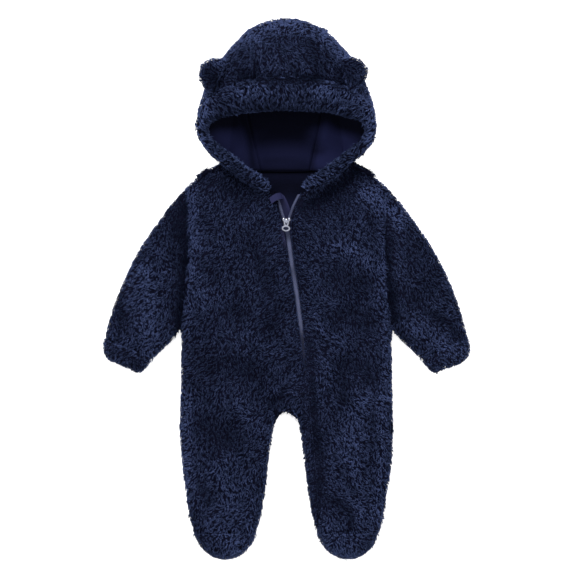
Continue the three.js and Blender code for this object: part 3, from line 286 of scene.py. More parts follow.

# Soft folds of the sherpa as it lies: each runs from one end to the other, bowed to one side, over
# a half width. depth: how far it sinks the cloth, or raises it when negative. shade: how much
# darker (negative) or lighter its pile is painted: painted shade in creases and hollows, and painted
# highlights on ridges and rims. Rows of no depth only paint shade and highlights.
FOLDS_AND_SHADE = [
    # x1, y1, x2, y2, bow, width, depth, shade
    # right shoulder and chest
    (-112, 154, -58, 116, 4, 11, 1.6, -0.48),
    (-76, 160, -40, 128, 2, 8, 1.2, -0.42),
    (-134, 134, -127, 60, 2, 9, -0.8, 0.48),
    (-131, 50, -137, -62, 0, 6, -0.4, 0.30),
    (-46, 70, -18, -56, 5, 15, 1.0, -0.36),
    (-78, -28, -64, -34, 0, 15, 1.2, -0.30),
    (-116, 34, -100, 20, 0, 9, 0.8, -0.24),
    (-126, 20, -116, -22, 0, 9, -0.8, 0.30),
    (-98, 72, -84, 50, 0, 10, -0.5, 0.16),
    (-104, -4, -86, -14, 0, 11, -0.6, 0.22),
    (-60, -62, -36, -84, 0, 12, -0.8, 0.14),
    # belly and right leg
    (-112, -106, -58, -116, 6, 17, 1.8, -0.42),
    (-48, -104, -28, -134, 3, 12, 1.6, -0.34),
    (-20, -160, -2, -148, 2, 6, 2.4, -0.75),
    (-66, -154, -30, -196, -5, 8, -1.0, 0.26),
    (-28, -128, -18, -146, 0, 7, -0.8, 0.26),
    (-112, -188, -82, -204, -5, 17, 2.0, -0.50),
    (-100, -226, -70, -220, 4, 9, 1.2, -0.26),
    (-138, -150, -138, -262, 0, 9, -0.8, 0.52),
    (-84, -262, -74, -356, 0, 28, -0.6, 0.36),
    (-118, -272, -108, -296, 2, 8, 1.4, -0.38),
    (-132, -268, -136, -300, 0, 7, -0.5, 0.34),
    (-46, -206, -54, -330, 3, 8, -0.3, 0.14),
    # left shoulder and chest
    (20, 114, 104, 172, -7, 10, 3.0, -0.95),
    (30, 100, 112, 150, -6, 9, 0.4, -0.30),
    (108, 136, 150, 96, 4, 14, -1.2, 0.84),
    (70, 58, 124, 30, 4, 12, -1.4, 0.46),
    (100, 86, 96, 66, 0, 11, -0.6, 0.26),
    (62, 20, 108, 10, -4, 17, 2.0, -0.38),
    (78, -34, 112, -48, 3, 17, 2.0, -0.44),
    (36, -34, 76, -80, -4, 9, -1.2, 0.32),
    (40, 30, 34, -20, 0, 9, -0.5, 0.16),
    (30, -70, 38, -168, 2, 5, 1.6, -0.50),
    (132, 84, 138, -150, 2, 7, -0.6, 0.40),
    (128, 6, 132, -44, 0, 9, -0.4, 0.16),
    # left leg
    (54, -86, 48, -156, 3, 10, -1.0, 0.22),
    (82, -104, 112, -118, 4, 17, 1.6, -0.40),
    (80, -132, 76, -158, 2, 8, 2.0, -0.50),
    (38, -168, 46, -316, 3, 6, 2.4, -0.56),
    (104, -158, 96, -300, -10, 19, -1.2, 0.46),
    (120, -176, 128, -182, 0, 6, 1.6, -0.40),
    (133, -150, 126, -318, 2, 8, -0.5, 0.52),
    (62, -196, 60, -280, 0, 9, -0.5, 0.14),
    (66, -296, 92, -330, 7, 8, 2.2, -0.62),
    (80, -252, 96, -286, -3, 8, 1.8, -0.44),
    (56, -330, 70, -366, 3, 13, -0.5, 0.46),
    # sleeves
    (-166, 112, -154, 76, 3, 11, 1.4, -0.42),
    (-196, 26, -188, -56, 0, 21, -1.0, 0.52),
    (-206, 44, -176, 32, 3, 7, 1.6, -0.34),
    (-232, -12, -236, -72, 3, 7, 1.6, -0.40),
    (-234, -66, -186, -98, 3, 12, -0.6, 0.34),
    (-176, 60, -168, 20, 0, 9, -0.5, 0.12),
    (170, 56, 196, 8, -4, 20, 1.0, -0.18),
    (150, -8, 180, -16, 3, 9, 1.6, -0.40),
    (152, 40, 154, 14, 0, 6, -0.8, 0.28),
    (160, -48, 212, -78, 4, 13, -1.2, 0.38),
    (226, -48, 236, -66, 0, 7, 2.0, -0.50),
    (196, -34, 214, -44, 2, 7, 1.6, -0.42),
    (200, -18, 226, -40, 0, 5, -0.8, 0.20),
    # hood and its band
    (-54, 292, 40, 289, -4, 9, 2.4, -0.84),
    (-100, 286, -62, 296, -4, 5, 1.2, -0.28),
    (40, 289, 76, 280, 4, 6, 1.2, -0.44),
    (-80, 318, -66, 300, 3, 6, 1.2, -0.34),
    (-14, 346, -4, 312, 2, 4, 1.0, -0.24),
    (22, 344, 36, 312, 3, 7, 1.4, -0.36),
    (52, 324, 66, 306, -3, 7, 0.8, -0.20),
    (-40, 336, -32, 308, 0, 10, -0.6, 0.18),
    (-62, 270, -34, 274, 3, 9, -0.6, 0.50),
    (-30, 275, 60, 274, 3, 6, -0.4, 0.20),
    (40, 268, 96, 262, 2, 9, -0.4, 0.40),
    (-96, 254, 100, 254, 6, 5, 0.6, -0.20),
    (-78, 184, -22, 134, 3, 5, -0.4, 0.36),
    (22, 136, 44, 152, 0, 5, -0.4, 0.30),
    (-84, 318, 78, 320, 46, 11, -0.4, 0.34),
    (-66, 330, -30, 356, 4, 9, 0.6, -0.16),
    (-50, 350, 48, 348, 14, 12, -0.4, 0.42),
    (50, 352, 80, 332, 3, 9, -0.4, 0.30),
    (30, 358, 44, 350, 0, 8, 1.2, -0.36),
    (-119, 184, -110, 266, 5, 9, 0.0, 0.62),
    (117, 184, 108, 264, -5, 9, 0.0, 0.62),
    (34, 372, 62, 356, 3, 9, -0.4, 0.20),
    (-47, 350, -43, 286, 2, 2.5, 0.0, -0.34),
    (40, 352, 45, 286, -2, 2.5, 0.0, -0.28),
    # feet
    (104, -322, 92, -366, -4, 12, -0.5, 0.44),
    (-104, -338, -60, -372, 6, 10, -0.4, 0.26),
    # cuffs
    (-243, -84, -206, -104, 2, 2.5, 0.0, -0.30),
    (222, -84, 242, -88, 0, 13, -0.4, 0.44),
    # painted highlights on the upper edges of the ears
    (-94, 314, -106, 318, 0, 6, 0.0, 0.30),
    (78, 322, 104, 316, 4, 5, 0.0, 0.40),
    # the shaded edge of the band, over the mouth of the hood
    (-114, 220, -95, 236, 2, 5, 0.0, -0.50),
    (-95, 238, -12, 250, 2, 5, 0.0, -0.42),
    (-12, 250, 86, 238, 2, 5, 0.0, -0.42),
    (86, 238, 114, 220, 2, 5, 0.0, -0.50),
    # painted shade at the roots of the ears, and painted highlights on their rims
    (-105, 298, -102, 280, 0, 9, 0.0, -0.66),
    (82, 300, 92, 284, 0, 14, 0.0, -0.42),
    (72, 306, 74, 284, 0, 8, 0.0, -0.30),
    (60, 292, 76, 322, 3, 4, 0.0, 0.42),
    (98, 322, 110, 302, 3, 4, 0.0, 0.40),
    (-112, 308, -86, 312, -3, 5, 0.0, 0.36),
]

# Where the sleeves turn in beside the body, in the same columns. Their shade is painted shade in the
# crease between each sleeve and the body.
SLEEVE_FOLDS_AND_SHADE = [
    (-145, 126, -140, 35, 2, 8, 2.0, -0.95),
    (-140, 35, -151, -62, 2, 8, 2.4, -1.00),
    (-152, 110, -154, -40, 0, 13, 0.4, -0.28),
    (140, 94, 140, 35, 0, 7, 2.0, -0.80),
    (140, 35, 152, -40, -2, 8, 2.4, -0.90),
    (152, -40, 166, -70, 0, 7, 0.8, -0.40),
]

# Where the pile is flattened beside the top of the closed zip and its tape shows. shade: how much.
FLATTENED = [
    (-3, 79, 2, 60, 0, 5, 0, 1.2),
]

# Soft wrinkles of the jersey inside the hood, in the same columns. Their shade is painted: painted
# shade in the hollows and over the neck, and painted highlights on the slopes of the side panels. The
# hood's band keeps the light off the top of it, as a painted shadow.
LINING_FOLDS_AND_SHADE = [
    (-112, 250, 104, 250, -4, 24, 0.0, -0.75),
    (-38, 210, 34, 214, 0, 22, 0.0, -0.22),
    (-92, 212, -66, 196, 3, 16, -0.6, 0.45),
    (-90, 186, -66, 172, 2, 9, 0.8, -0.10),
    (52, 216, 84, 196, -3, 17, -0.6, 0.75),
    (48, 176, 78, 178, 3, 11, -0.5, 0.70),
    (42, 190, 70, 196, -2, 6, 0.8, -0.16),
    (-40, 188, 30, 186, 3, 12, -0.4, 0.14),
    (-36, 206, 20, 210, 4, 8, 0.6, -0.10),
    (-30, 176, 26, 174, 2, 4, 0.5, -0.12),
    (-54, 240, -47, 172, 0, 4, 1.0, -0.26),
    (47, 240, 36, 172, 0, 4, 1.0, -0.26),
    (-50, 162, 40, 162, 0, 4, 0.8, -0.30),
    (-44, 140, 34, 140, 0, 26, 0.0, -0.40),
    (-112, 220, -82, 234, 0, 13, 0.0, -0.40),
    (78, 232, 112, 218, 0, 13, 0.0, -0.46),
    (-84, 196, -60, 168, 0, 12, 0.0, 0.14),
    (78, 206, 60, 168, 0, 12, 0.0, 0.18),
]


def fold_amounts(points, folds):
    """How deep a table of folds sinks each point, in metres, and how it shades it."""
    x, y = points[:, 0] / MM, points[:, 1] / MM
    sunk, shaded = np.zeros(len(points)), np.zeros(len(points))
    for x1, y1, x2, y2, bow, width, depth, shade in folds:
        dx, dy = x2 - x1, y2 - y1
        long = math.hypot(dx, dy)
        share = ((x - x1) * dx + (y - y1) * dy) / long**2
        held = share.clip(0, 1)
        across = ((y - y1) * dx - (x - x1) * dy) / long - bow * np.sin(math.pi * held)
        past = (share - held) * long
        reach = np.exp(-(across**2 + past**2) / width**2)
        sunk += depth * reach
        shaded += shade * reach
    return sunk * MM, shaded


def folds_of(name):
    """The table of folds that a panel takes."""
    return FOLDS_AND_SHADE + SLEEVE_FOLDS_AND_SHADE if name.startswith("sleeve") else FOLDS_AND_SHADE


def flattened(name, points):
    """How flat the pile of a panel is pressed, from 0 up."""
    return fold_amounts(points, FLATTENED if name.startswith("front") else [])[1]


def chain_line(name):
    """Middle of one side's zip chain: rows of y, x and z, from the top down."""
    points, _ = solid_arrays(name)
    levels = sorted({round(y, 5) for y in points[:, 1]}, reverse=True)
    rows = [points[np.abs(points[:, 1] - y) < 1e-5] for y in levels]
    return np.array([[y, r[:, 0].mean(), r[:, 2].mean()] for y, r in zip(levels, rows)])


CHAIN_RIGHT = chain_line("zip_chain_right")
CHAIN_LEFT = chain_line("zip_chain_left")


# How far the zip tells on the cloth and its pile, beside it and past its ends: close by, and wider.
ZIP_CLOSE = (9 * MM, 12 * MM)
ZIP_WIDE = (30 * MM, 30 * MM)
ZIP_CORNER = (36 * MM, -331 * MM)  # the left front's corner below the zip, at the leg's inner edge
CORNER_REACH = 6 * MM
CORNER_SHIFT = 4.5 * MM  # the corner is drawn back from the leg's edge by this


def zip_side(points):
    """How near each point is to the zip, from 0 to 1, close by and further off, and its side."""
    y = points[:, 1]
    middle = np.zeros(len(points))
    away = np.full(len(points), np.inf)
    for chain in (CHAIN_RIGHT, CHAIN_LEFT):
        x = np.interp(-y, -chain[:, 0], chain[:, 1])
        middle += x / 2
        away = np.minimum(away, np.abs(points[:, 0] - x))
    past = (CHAIN_RIGHT[-1, 0] - y).clip(0, None) + (y - CHAIN_RIGHT[0, 0]).clip(0, None)
    near, wide = (
        np.exp(-((away / beside) ** 2) - (past / beyond) ** 2) for beside, beyond in (ZIP_CLOSE, ZIP_WIDE)
    )
    return near, wide, np.sign(points[:, 0] - middle)


# ---- Materials ----

BLACK, WHITE = (0, 0, 0, 1), (1, 1, 1, 1)
CRIMPS = 55.0  # in radians along a strand
CRIMP_PHASE = 40.0  # strands of other tones crimp at other places
ROOT_ROUGHNESS, TIP_GLOSS = 0.92, 0.25


def new_group(name, inputs, outputs):
    """An empty shader node group with its sockets: (name, kind, value) going in, (name, kind) out."""
    group = bpy.data.node_groups.new(name, "ShaderNodeTree")
    for label, kind, value in inputs:
        socket = group.interface.new_socket(label, in_out="INPUT", socket_type="NodeSocket" + kind)
        socket.default_value = value
    for label, kind in outputs:
        group.interface.new_socket(label, in_out="OUTPUT", socket_type="NodeSocket" + kind)
    return group, group.nodes.new("NodeGroupInput"), group.nodes.new("NodeGroupOutput")


def maths(nodes, link, kind, first, second):
    """A Math node; each side is a number or an output socket."""
    node = nodes.new("ShaderNodeMath")
    node.operation = kind
    for socket, value in zip(node.inputs, (first, second)):
        if isinstance(value, (int, float)):
            socket.default_value = value
        else:
            link(value, socket)
    return node.outputs[0]


def marked_value(nodes, label):
    """A value that is marked on a piece's points."""
    node = nodes.new("ShaderNodeAttribute")
    node.attribute_name = label
    return node.outputs["Fac"]


def mixed_colour(nodes, link, share, first, second):
    """The first colour where the share is 0, and the second where it is 1."""
    node = nodes.new("ShaderNodeMix")
    node.data_type = "RGBA"
    for label, socket in (("Factor", share), ("A", first), ("B", second)):
        link(socket, node.inputs[label])
    return node.outputs["Result"]


def nap_group():
    """Pile: dark at its roots, as painted shade down among the strands, and lighter at its tips by its
    tone, which carries painted shade and highlights; with the crimp of the fibre and a gloss that grows
    towards the lighter tips."""
    group, given, out = new_group(
        "nap",
        [("Root", "Color", BLACK), ("Tip", "Color", WHITE), ("Crimps", "Float", CRIMPS)],
        [("Color", "Color"), ("Crimp", "Float"), ("Roughness", "Float")],
    )
    nodes, link = group.nodes, group.links.new
    along, tone = marked_value(nodes, "along"), marked_value(nodes, "tone")
    lift = maths(nodes, link, "MULTIPLY", along, tone)
    shade = mixed_colour(nodes, link, lift, given.outputs["Root"], given.outputs["Tip"])
    turns = maths(nodes, link, "MULTIPLY", along, given.outputs["Crimps"])
    phase = maths(nodes, link, "MULTIPLY", tone, CRIMP_PHASE)
    crimp = maths(nodes, link, "SINE", maths(nodes, link, "ADD", turns, phase), 0.0)
    link(shade, out.inputs["Color"])
    link(crimp, out.inputs["Crimp"])
    gloss = maths(nodes, link, "MULTIPLY", lift, TIP_GLOSS)
    link(maths(nodes, link, "SUBTRACT", ROOT_ROUGHNESS, gloss), out.inputs["Roughness"])
    return group


def mottle_group():
    """Two colours mixed by a fine grain and by tone. The grain also gives the height of a bump."""
    group, given, out = new_group(
        "mottle",
        [("Dark", "Color", BLACK), ("Light", "Color", WHITE), ("Scale", "Float", 800.0)],
        [("Color", "Color"), ("Height", "Float")],
    )
    nodes, link = group.nodes, group.links.new
    place = nodes.new("ShaderNodeTexCoord")
    grain = nodes.new("ShaderNodeTexNoise")
    grain.inputs["Detail"].default_value = 4
    link(place.outputs["Object"], grain.inputs["Vector"])
    link(given.outputs["Scale"], grain.inputs["Scale"])
    centred = maths(nodes, link, "SUBTRACT", grain.outputs["Fac"], 0.5)
    fine = maths(nodes, link, "MULTIPLY", centred, 0.5)
    share = maths(nodes, link, "ADD", fine, marked_value(nodes, "tone"))
    colour = mixed_colour(nodes, link, share, given.outputs["Dark"], given.outputs["Light"])
    link(colour, out.inputs["Color"])
    link(grain.outputs["Fac"], out.inputs["Height"])
    return group


NAP = nap_group()
MOTTLE = mottle_group()


def bump(material, height, strength, distance):
    """A bump on a material's normal from a height socket."""
    nodes, link = material.node_tree.nodes, material.node_tree.links.new
    node = nodes.new("ShaderNodeBump")
    node.inputs["Strength"].default_value = strength
    node.inputs["Distance"].default_value = distance
    link(height, node.inputs["Height"])
    link(node.outputs["Normal"], nodes["Principled BSDF"].inputs["Normal"])


def plain_material(name, roughness, specular=0.25):
    """A new material, and its Principled shader."""
    material = bpy.data.materials.new(name)
    material.use_nodes = True
    shader = material.node_tree.nodes["Principled BSDF"]
    shader.inputs["Roughness"].default_value = roughness
    shader.inputs["Specular IOR Level"].default_value = specular
    return material, shader


def placed(material, group, **values):
    """A node group set into a material with its own values."""
    node = material.node_tree.nodes.new("ShaderNodeGroup")
    node.node_tree = group
    for label, value in values.items():
        node.inputs[label].default_value = value
    return node


def pile_material(name, root, tip):
    """A finish for pile, with a bump as fine as the crimp of its fibre."""
    material, shader = plain_material(name, roughness=0.8, specular=0.04)
    nap = placed(material, NAP, Root=root, Tip=tip)
    link = material.node_tree.links.new
    link(nap.outputs["Color"], shader.inputs["Base Color"])
    link(nap.outputs["Roughness"], shader.inputs["Roughness"])
    bump(material, nap.outputs["Crimp"], strength=0.25, distance=0.1 * MM)
    return material


def mottled(name, dark, light, scale, roughness, strength, distance, specular=0.25):
    """A finish mottled between two colours, with a fine bump of the same grain."""
    material, shader = plain_material(name, roughness, specular)
    grain = placed(material, MOTTLE, Dark=dark, Light=light, Scale=scale)
    material.node_tree.links.new(grain.outputs["Color"], shader.inputs["Base Color"])
    bump(material, grain.outputs["Height"], strength, distance)
    return material


# Its near-black root colour is painted shade among the strands.
PILE = pile_material("curly_navy_pile", (0.0008, 0.0020, 0.0085, 1), (0.099, 0.138, 0.322, 1))
BACKING_CLOTH = mottled(
    "sherpa_backing", (0.0010, 0.0016, 0.0060, 1), (0.034, 0.036, 0.088, 1),
    scale=600, roughness=0.95, strength=0.6, distance=0.001, specular=0.03,
)
LINING = mottled(
    "navy_jersey", (0.0010, 0.0014, 0.0055, 1), (0.016, 0.019, 0.068, 1),
    scale=1500, roughness=0.85, strength=0.3, distance=0.0004, specular=0.05,
)
GUARD_CLOTH = mottled(
    "guard_satin", (0.006, 0.007, 0.027, 1), (0.034, 0.037, 0.115, 1),
    scale=1500, roughness=0.6, strength=0.2, distance=0.0003, specular=0.1,
)
TAPE = mottled(
    "zip_tape_weave", (0.003, 0.004, 0.016, 1), (0.03, 0.035, 0.1, 1),
    scale=2500, roughness=0.7, strength=0.4, distance=0.0003, specular=0.1,
)
COIL = mottled(
    "zip_coil_nylon", (0.018, 0.023, 0.056, 1), (0.150, 0.172, 0.310, 1),
    scale=700, roughness=0.4, strength=0.1, distance=0.0001, specular=0.2,
)
# The slider metal's dark colour is painted shade, given to the slider's plate between its bright shoulders
# and bail; the light colour is the bright metal.
SLIDER_METAL = mottled(
    "slider_metal", (0.03, 0.03, 0.045, 1), (0.64, 0.67, 0.82, 1),
    scale=900, roughness=0.26, strength=0.15, distance=0.0001,
)
SLIDER_METAL.node_tree.nodes["Principled BSDF"].inputs["Metallic"].default_value = 1


# ---- Pile ----


def scatter(data, density):
    """Places spread over a sheet, and its normals there. density gives how many stand on a square
    metre from how far up a face looks, from -1 to 1."""
    data.calc_loop_triangles()
    corners = np.zeros(len(data.loop_triangles) * 3, int)
    data.loop_triangles.foreach_get("vertices", corners)
    corners = corners.reshape(-1, 3)
    points, normals = point_normals(data)
    a, b, c = (points[corners[:, i]] for i in range(3))
    facing = np.cross(b - a, c - a)
    sizes = np.linalg.norm(facing, axis=1) / 2
    wanted = sizes * density(facing[:, 2] / (2 * sizes).clip(1e-12, None))
    count = int(wanted.sum())
    picks = (np.arange(count) + rng.random(count)) / count
    picked = np.searchsorted(np.cumsum(wanted) / wanted.sum(), picks).clip(0, len(sizes) - 1)
    u, v = rng.random((2, count))
    fold = u + v > 1
    u[fold], v[fold] = 1 - u[fold], 1 - v[fold]
    weight = np.stack([1 - u - v, u, v], 1)[:, :, None]
    at = (points[corners[picked]] * weight).sum(1)
    return at, unit((normals[corners[picked]] * weight).sum(1))


def unit(v):
    """Rows of vectors, each made one long."""
    return v / np.linalg.norm(v, axis=1)[:, None].clip(1e-9, None)


PARTING = 1.6  # how much the pile beside the zip lies away from it
PARTING_FALL = -0.25  # and how much of that is towards the feet
PARTING_END = ZIP_CORNER[1] + 14 * MM  # it parts down to here
LOOSE = 0.3  # how far single locks stray, in radians


def combed(at, normal, comb, swirl):
    """Directions along the cloth in which the pile lies."""
    way = np.array(MOUTH) - at if comb == "mouth" else np.tile(unit(np.array([comb], float)), (len(at), 1))
    _, wide, side_of_zip = zip_side(at)
    wide = wide * (at[:, 1] > PARTING_END)
    outward = np.stack([side_of_zip, np.full(len(at), PARTING_FALL), np.zeros(len(at))], 1)
    way = way if comb == "mouth" else way + outward * (PARTING * wide)[:, None]
    way = unit(way - normal * (way * normal).sum(1)[:, None])
    side = np.cross(normal, way)
    angle = swirl * (SWIRL(at) + 0.5 * SMALL_SWIRL(at)) + rng.normal(0, LOOSE, len(at))
    return way * np.cos(angle)[:, None] + side * np.sin(angle)[:, None]


SIDES = 3
TONE_STEP = 0.008  # the sides of a strand differ by this much tone


def strand_mesh(paths, widths, along, tones):
    """Closed strands, pointed at both ends. paths is (strand, place, axis), with a ring at each
    place between the first and the last. Gives points, faces, and each point's along and tone."""
    count, rings = len(paths), paths.shape[1] - 2
    run = unit((paths[:, 2:] - paths[:, :-2]).reshape(-1, 3)).reshape(count, rings, 3)
    lean = np.cross(run, rng.normal(size=(count, 1, 3)))
    first = unit(lean.reshape(-1, 3)).reshape(count, rings, 3)
    second = np.cross(run, first)
    turn = 2 * math.pi * np.arange(SIDES) / SIDES
    ring = first[:, :, None] * np.cos(turn)[:, None] + second[:, :, None] * np.sin(turn)[:, None]
    ring = paths[:, 1:-1, None] + ring * widths[:, None, None, None]
    each = rings * SIDES + 2
    points = np.concatenate([paths[:, :1], ring.reshape(count, -1, 3), paths[:, -1:]], 1).reshape(-1, 3)
    pairs = [(s, (s + 1) % SIDES) for s in range(SIDES)]
    faces = [[0, 1 + b, 1 + a] for a, b in pairs]
    for r in range(rings - 1):
        low, high = 1 + r * SIDES, 1 + (r + 1) * SIDES
        faces += [f for a, b in pairs for f in ([low + a, low + b, high + b], [low + a, high + b, high + a])]
    last = 1 + (rings - 1) * SIDES
    faces += [[last + a, last + b, each - 1] for a, b in pairs]
    faces = (np.array(faces)[None] + (np.arange(count) * each)[:, None, None]).reshape(-1, 3)
    step = np.concatenate([[0], np.tile(np.arange(SIDES) - 1, rings), [0]]) * TONE_STEP
    long = np.concatenate([along[:1], np.repeat(along[1:-1], SIDES), along[-1:]])
    return points, faces, np.tile(long, count), (tones[:, None] + step).ravel()


def mesh_from(name, points, faces):
    """A smooth mesh from arrays of points and of faces that all have as many corners."""
    data = bpy.data.meshes.new(name)
    data.vertices.add(len(points))
    data.vertices.foreach_set("co", points.astype(np.float32).ravel())
    size = faces.shape[1]
    data.loops.add(faces.size)
    data.loops.foreach_set("vertex_index", faces.astype(np.int32).ravel())
    data.polygons.add(len(faces))
    data.polygons.foreach_set("loop_start", np.arange(0, faces.size, size, dtype=np.int32))
    data.polygons.foreach_set("use_smooth", np.ones(len(faces), bool))
    data.update(calc_edges=True)
    return data


STRAND_PLACES = np.array([0.0, 0.42, 1.0])
# The root colour is painted shade down among the strands; the tips take the tip colour by their tone.
STRAND_SHINE = np.array([0.0, 0.8, 1.0])  # how far from root to tip colour it is at each place
LOCK_STRANDS = 3
UNDERNEATH = -0.3  # a face that looks down by more than this is underneath
UNDER_SHARE = 0.26  # of the locks, underneath, where each is larger
UNDER_WIDTH, UNDER_LENGTH = 1.7, 1.2
LIES_FLAT = (0.2, 0.8)  # as flat as this, the first locks are left out, and then all of them

# Shades are powers of e, from 0 for the plain pile. The pile that stands out sideways is lighter,
# where the light comes through it: evenly, more on the wearer's left, and more towards the hood.
SHADE_GAIN = 1.5  # how strongly the shade of a fold tells
BRUSHED_UNDER = 0.3  # how far the shade wanders underneath, and everywhere in patches and tufts
BRUSHED_ALL, TUFTED_ALL = 0.15, 0.15
RIM = 0.95
RIM_LIGHT = (0.75, 0.35, 0.25)
RIM_LEAST = 0.3
RIM_SHADED = 1.5  # how much the folds' shade takes from that light
RIM_MIDDLE, RIM_SPREAD = 0.15, 0.35  # how far up it looks

# How single locks and strands differ, least and most, as a share of the panel's own measure.
LOCK_LENGTH, LOCK_HEIGHT = (0.7, 1.25), (0.55, 1.15)
STRAND_LENGTH, STRAND_HEIGHT = (0.75, 1.1), (0.7, 1.1)
STRAND_TONE = (0.3, 1.75)
STRAND_WIDTH = (0.42, 0.62)  # in millimetres
LOCK_TONE, LOCK_TONE_SPREAD = 0.305, 0.11
LOCK_BEND, STRAND_BEND = 0.3, 0.15
ZIP_SHORTER, ZIP_LOWER = 0.35, 0.55  # how much shorter and lower the pile is beside the zip
STRAND_STEP, STRAND_STRAY = 0.6 * MM, 0.3 * MM  # between the strands of a lock
ROOT_STRAY, ROOT_DEPTH = 1.3 * MM, 0.3 * MM
FLOOR_PILE_GAP = 0.2 * MM
ARCH, ARCH_EARLY = 0.62, 0.8  # a strand rises as this share of a half wave does, most of it early
REACH_LATE = 1.15  # and runs along the cloth a little later
CURL = 0.55  # how far it bends the other way first
GATHER = 0.4  # how much nearer its tip is to its lock's middle


def pile_shade(name, at, normal):
    """The painted shade, painted highlights and painted rim light of the pile at each place on a panel,
    with its random patches and tufts of tone.
    """
    _, shaded = fold_amounts(at, folds_of(name))
    shaded = SHADE_GAIN * np.where(normal[:, 2] > 0, shaded, BRUSHED_UNDER * BRUSHED(at))
    shaded += BRUSHED_ALL * BRUSHED(at) + TUFTED_ALL * TUFTS(at)
    evenly, on_left, on_top = RIM_LIGHT
    lit = (evenly + on_left * normal[:, 0] + on_top * normal[:, 1]).clip(RIM_LEAST, None)
    lit = lit * np.exp(RIM_SHADED * shaded.clip(None, 0))
    return shaded + RIM * lit * np.exp(-(((normal[:, 2] - RIM_MIDDLE) / RIM_SPREAD) ** 2))


def strand_path(root, normal, way, side, off, reach, rise, turn):
    """Curved paths from their roots: up and over along the cloth, and in towards their lock."""
    path = []
    for t in STRAND_PLACES:
        up = math.sin(math.pi * ARCH * t**ARCH_EARLY) * rise if t else 0 * rise
        path.append(
            root
            + normal * up[:, None]
            + way * (reach * t**REACH_LATE)[:, None]
            + side * (reach * turn * (t * t - CURL * t))[:, None]
            - off * (GATHER * t)
        )
    return np.stack(path, 1)


def grow_pile(name, sheet, strands, length, tall, comb, swirl, coarse=1.0, spread=1.0):
    """Locks of curved strands all over a sheet."""
    full = strands / LOCK_STRANDS * 1e4
    at, normal = scatter(sheet.data, lambda up: np.where(up > UNDERNEATH, full, full * UNDER_SHARE))
    kept = flattened(name, at) < rng.uniform(*LIES_FLAT, len(at))
    at, normal = at[kept], normal[kept]
    way = combed(at, normal, comb, swirl)
    side = np.cross(normal, way)
    near, _, _ = zip_side(at)
    under = normal[:, 2] < UNDERNEATH
    size = coarse * np.where(under, UNDER_WIDTH, 1.0)
    count = len(at)
    long = length * MM * np.where(under, UNDER_LENGTH, 1.0) * rng.uniform(*LOCK_LENGTH, count)
    long = long * (1 - ZIP_SHORTER * near)
    height = tall * MM * rng.uniform(*LOCK_HEIGHT, count) * (1 - ZIP_LOWER * near)
    bend = rng.normal(0, LOCK_BEND, count)
    lock_tone = LOCK_TONE + LOCK_TONE_SPREAD * spread * rng.uniform(-1, 1, count)
    # The locks' tone takes the painted shade and painted light of pile_shade.
    lock_tone = lock_tone * np.exp(pile_shade(name, at, normal))
    paths, widths, tones = [], [], []
    for strand in range(LOCK_STRANDS):
        apart = (strand - 1) * STRAND_STEP * size + rng.normal(0, STRAND_STRAY, count)
        off = side * apart[:, None]
        root = at + off + way * rng.normal(0, ROOT_STRAY, count)[:, None] - normal * ROOT_DEPTH
        reach = long * rng.uniform(*STRAND_LENGTH, count)
        rise = height * rng.uniform(*STRAND_HEIGHT, count)
        turn = bend + rng.normal(0, STRAND_BEND, count)
        paths.append(strand_path(root, normal, way, side, off, reach, rise, turn))
        widths.append(rng.uniform(*STRAND_WIDTH, count) * MM * size)
        tones.append(lock_tone * rng.uniform(*STRAND_TONE, count))
    paths = np.concatenate(paths)
    lowest = paths[:, :, 2].min(1) - np.concatenate(widths)
    paths[:, :, 2] += (FLOOR_PILE_GAP - lowest).clip(0, None)[:, None]
    tone = np.concatenate(tones).clip(2 * TONE_STEP, 1 - 2 * TONE_STEP)
    points, faces, along, tone = strand_mesh(paths, np.concatenate(widths), STRAND_SHINE, tone)
    data = mesh_from(name + "_pile", points, faces)
    marked(data, "along", along)
    marked(data, "tone", tone)
    swatch = data.uv_layers.new(name="OFBake")  # along and tone are the pile's whole colour
    swatch.data.foreach_set("uv", np.stack([along, tone], 1)[faces.ravel()].astype(np.float32).ravel())
    data.materials.append(PILE)
    return added(name + "_pile", data)


# ---- Sherpa panels ----


def shell(sheet, thickness, material, name):
    """A closed thin cloth from a sheet, thickened to its inside."""
    finished(sheet.data, material)
    thick = sheet.modifiers.new("thick", "SOLIDIFY")
    thick.thickness = thickness
    thick.offset = -1
    sheet.name = name
    return applied(sheet)


def turn_in(sheet, allowance):
    """Adds the seam allowance all round a sheet, turned to its inside and under the next piece.
    allowance gives how far it goes in, and under, from a point and its normal."""
    mesh = bmesh.new()
    mesh.from_mesh(sheet.data)
    mesh.normal_update()
    mesh.faces.ensure_lookup_table()
    facing = mesh.faces[0].normal.copy()
    rim = [e for e in mesh.edges if e.is_boundary]
    outward = {}
    for e in rim:
        face = e.link_faces[0]
        out = (e.verts[1].co - e.verts[0].co).cross(face.normal).normalized()
        if out.dot(e.verts[0].co - face.calc_center_median()) < 0:
            out.negate()
        for v in e.verts:
            outward[v] = outward.get(v, Vector()) + out
    inward = {v: v.normal.copy() for v in outward}
    made = bmesh.ops.extrude_edge_only(mesh, edges=rim)["geom"]
    for v in [g for g in made if isinstance(g, bmesh.types.BMVert)]:
        old = next(e.other_vert(v) for e in v.link_edges if e.other_vert(v) in outward)
        under, across = allowance(old.co, inward[old])
        v.co = old.co - inward[old] * under + outward[old].normalized() * across
    bmesh.ops.recalc_face_normals(mesh, faces=mesh.faces)
    mesh.faces.ensure_lookup_table()
    if mesh.faces[0].normal.dot(facing) < 0:
        bmesh.ops.reverse_faces(mesh, faces=mesh.faces)
    put_in_order(mesh)
    mesh.to_mesh(sheet.data)
    mesh.free()


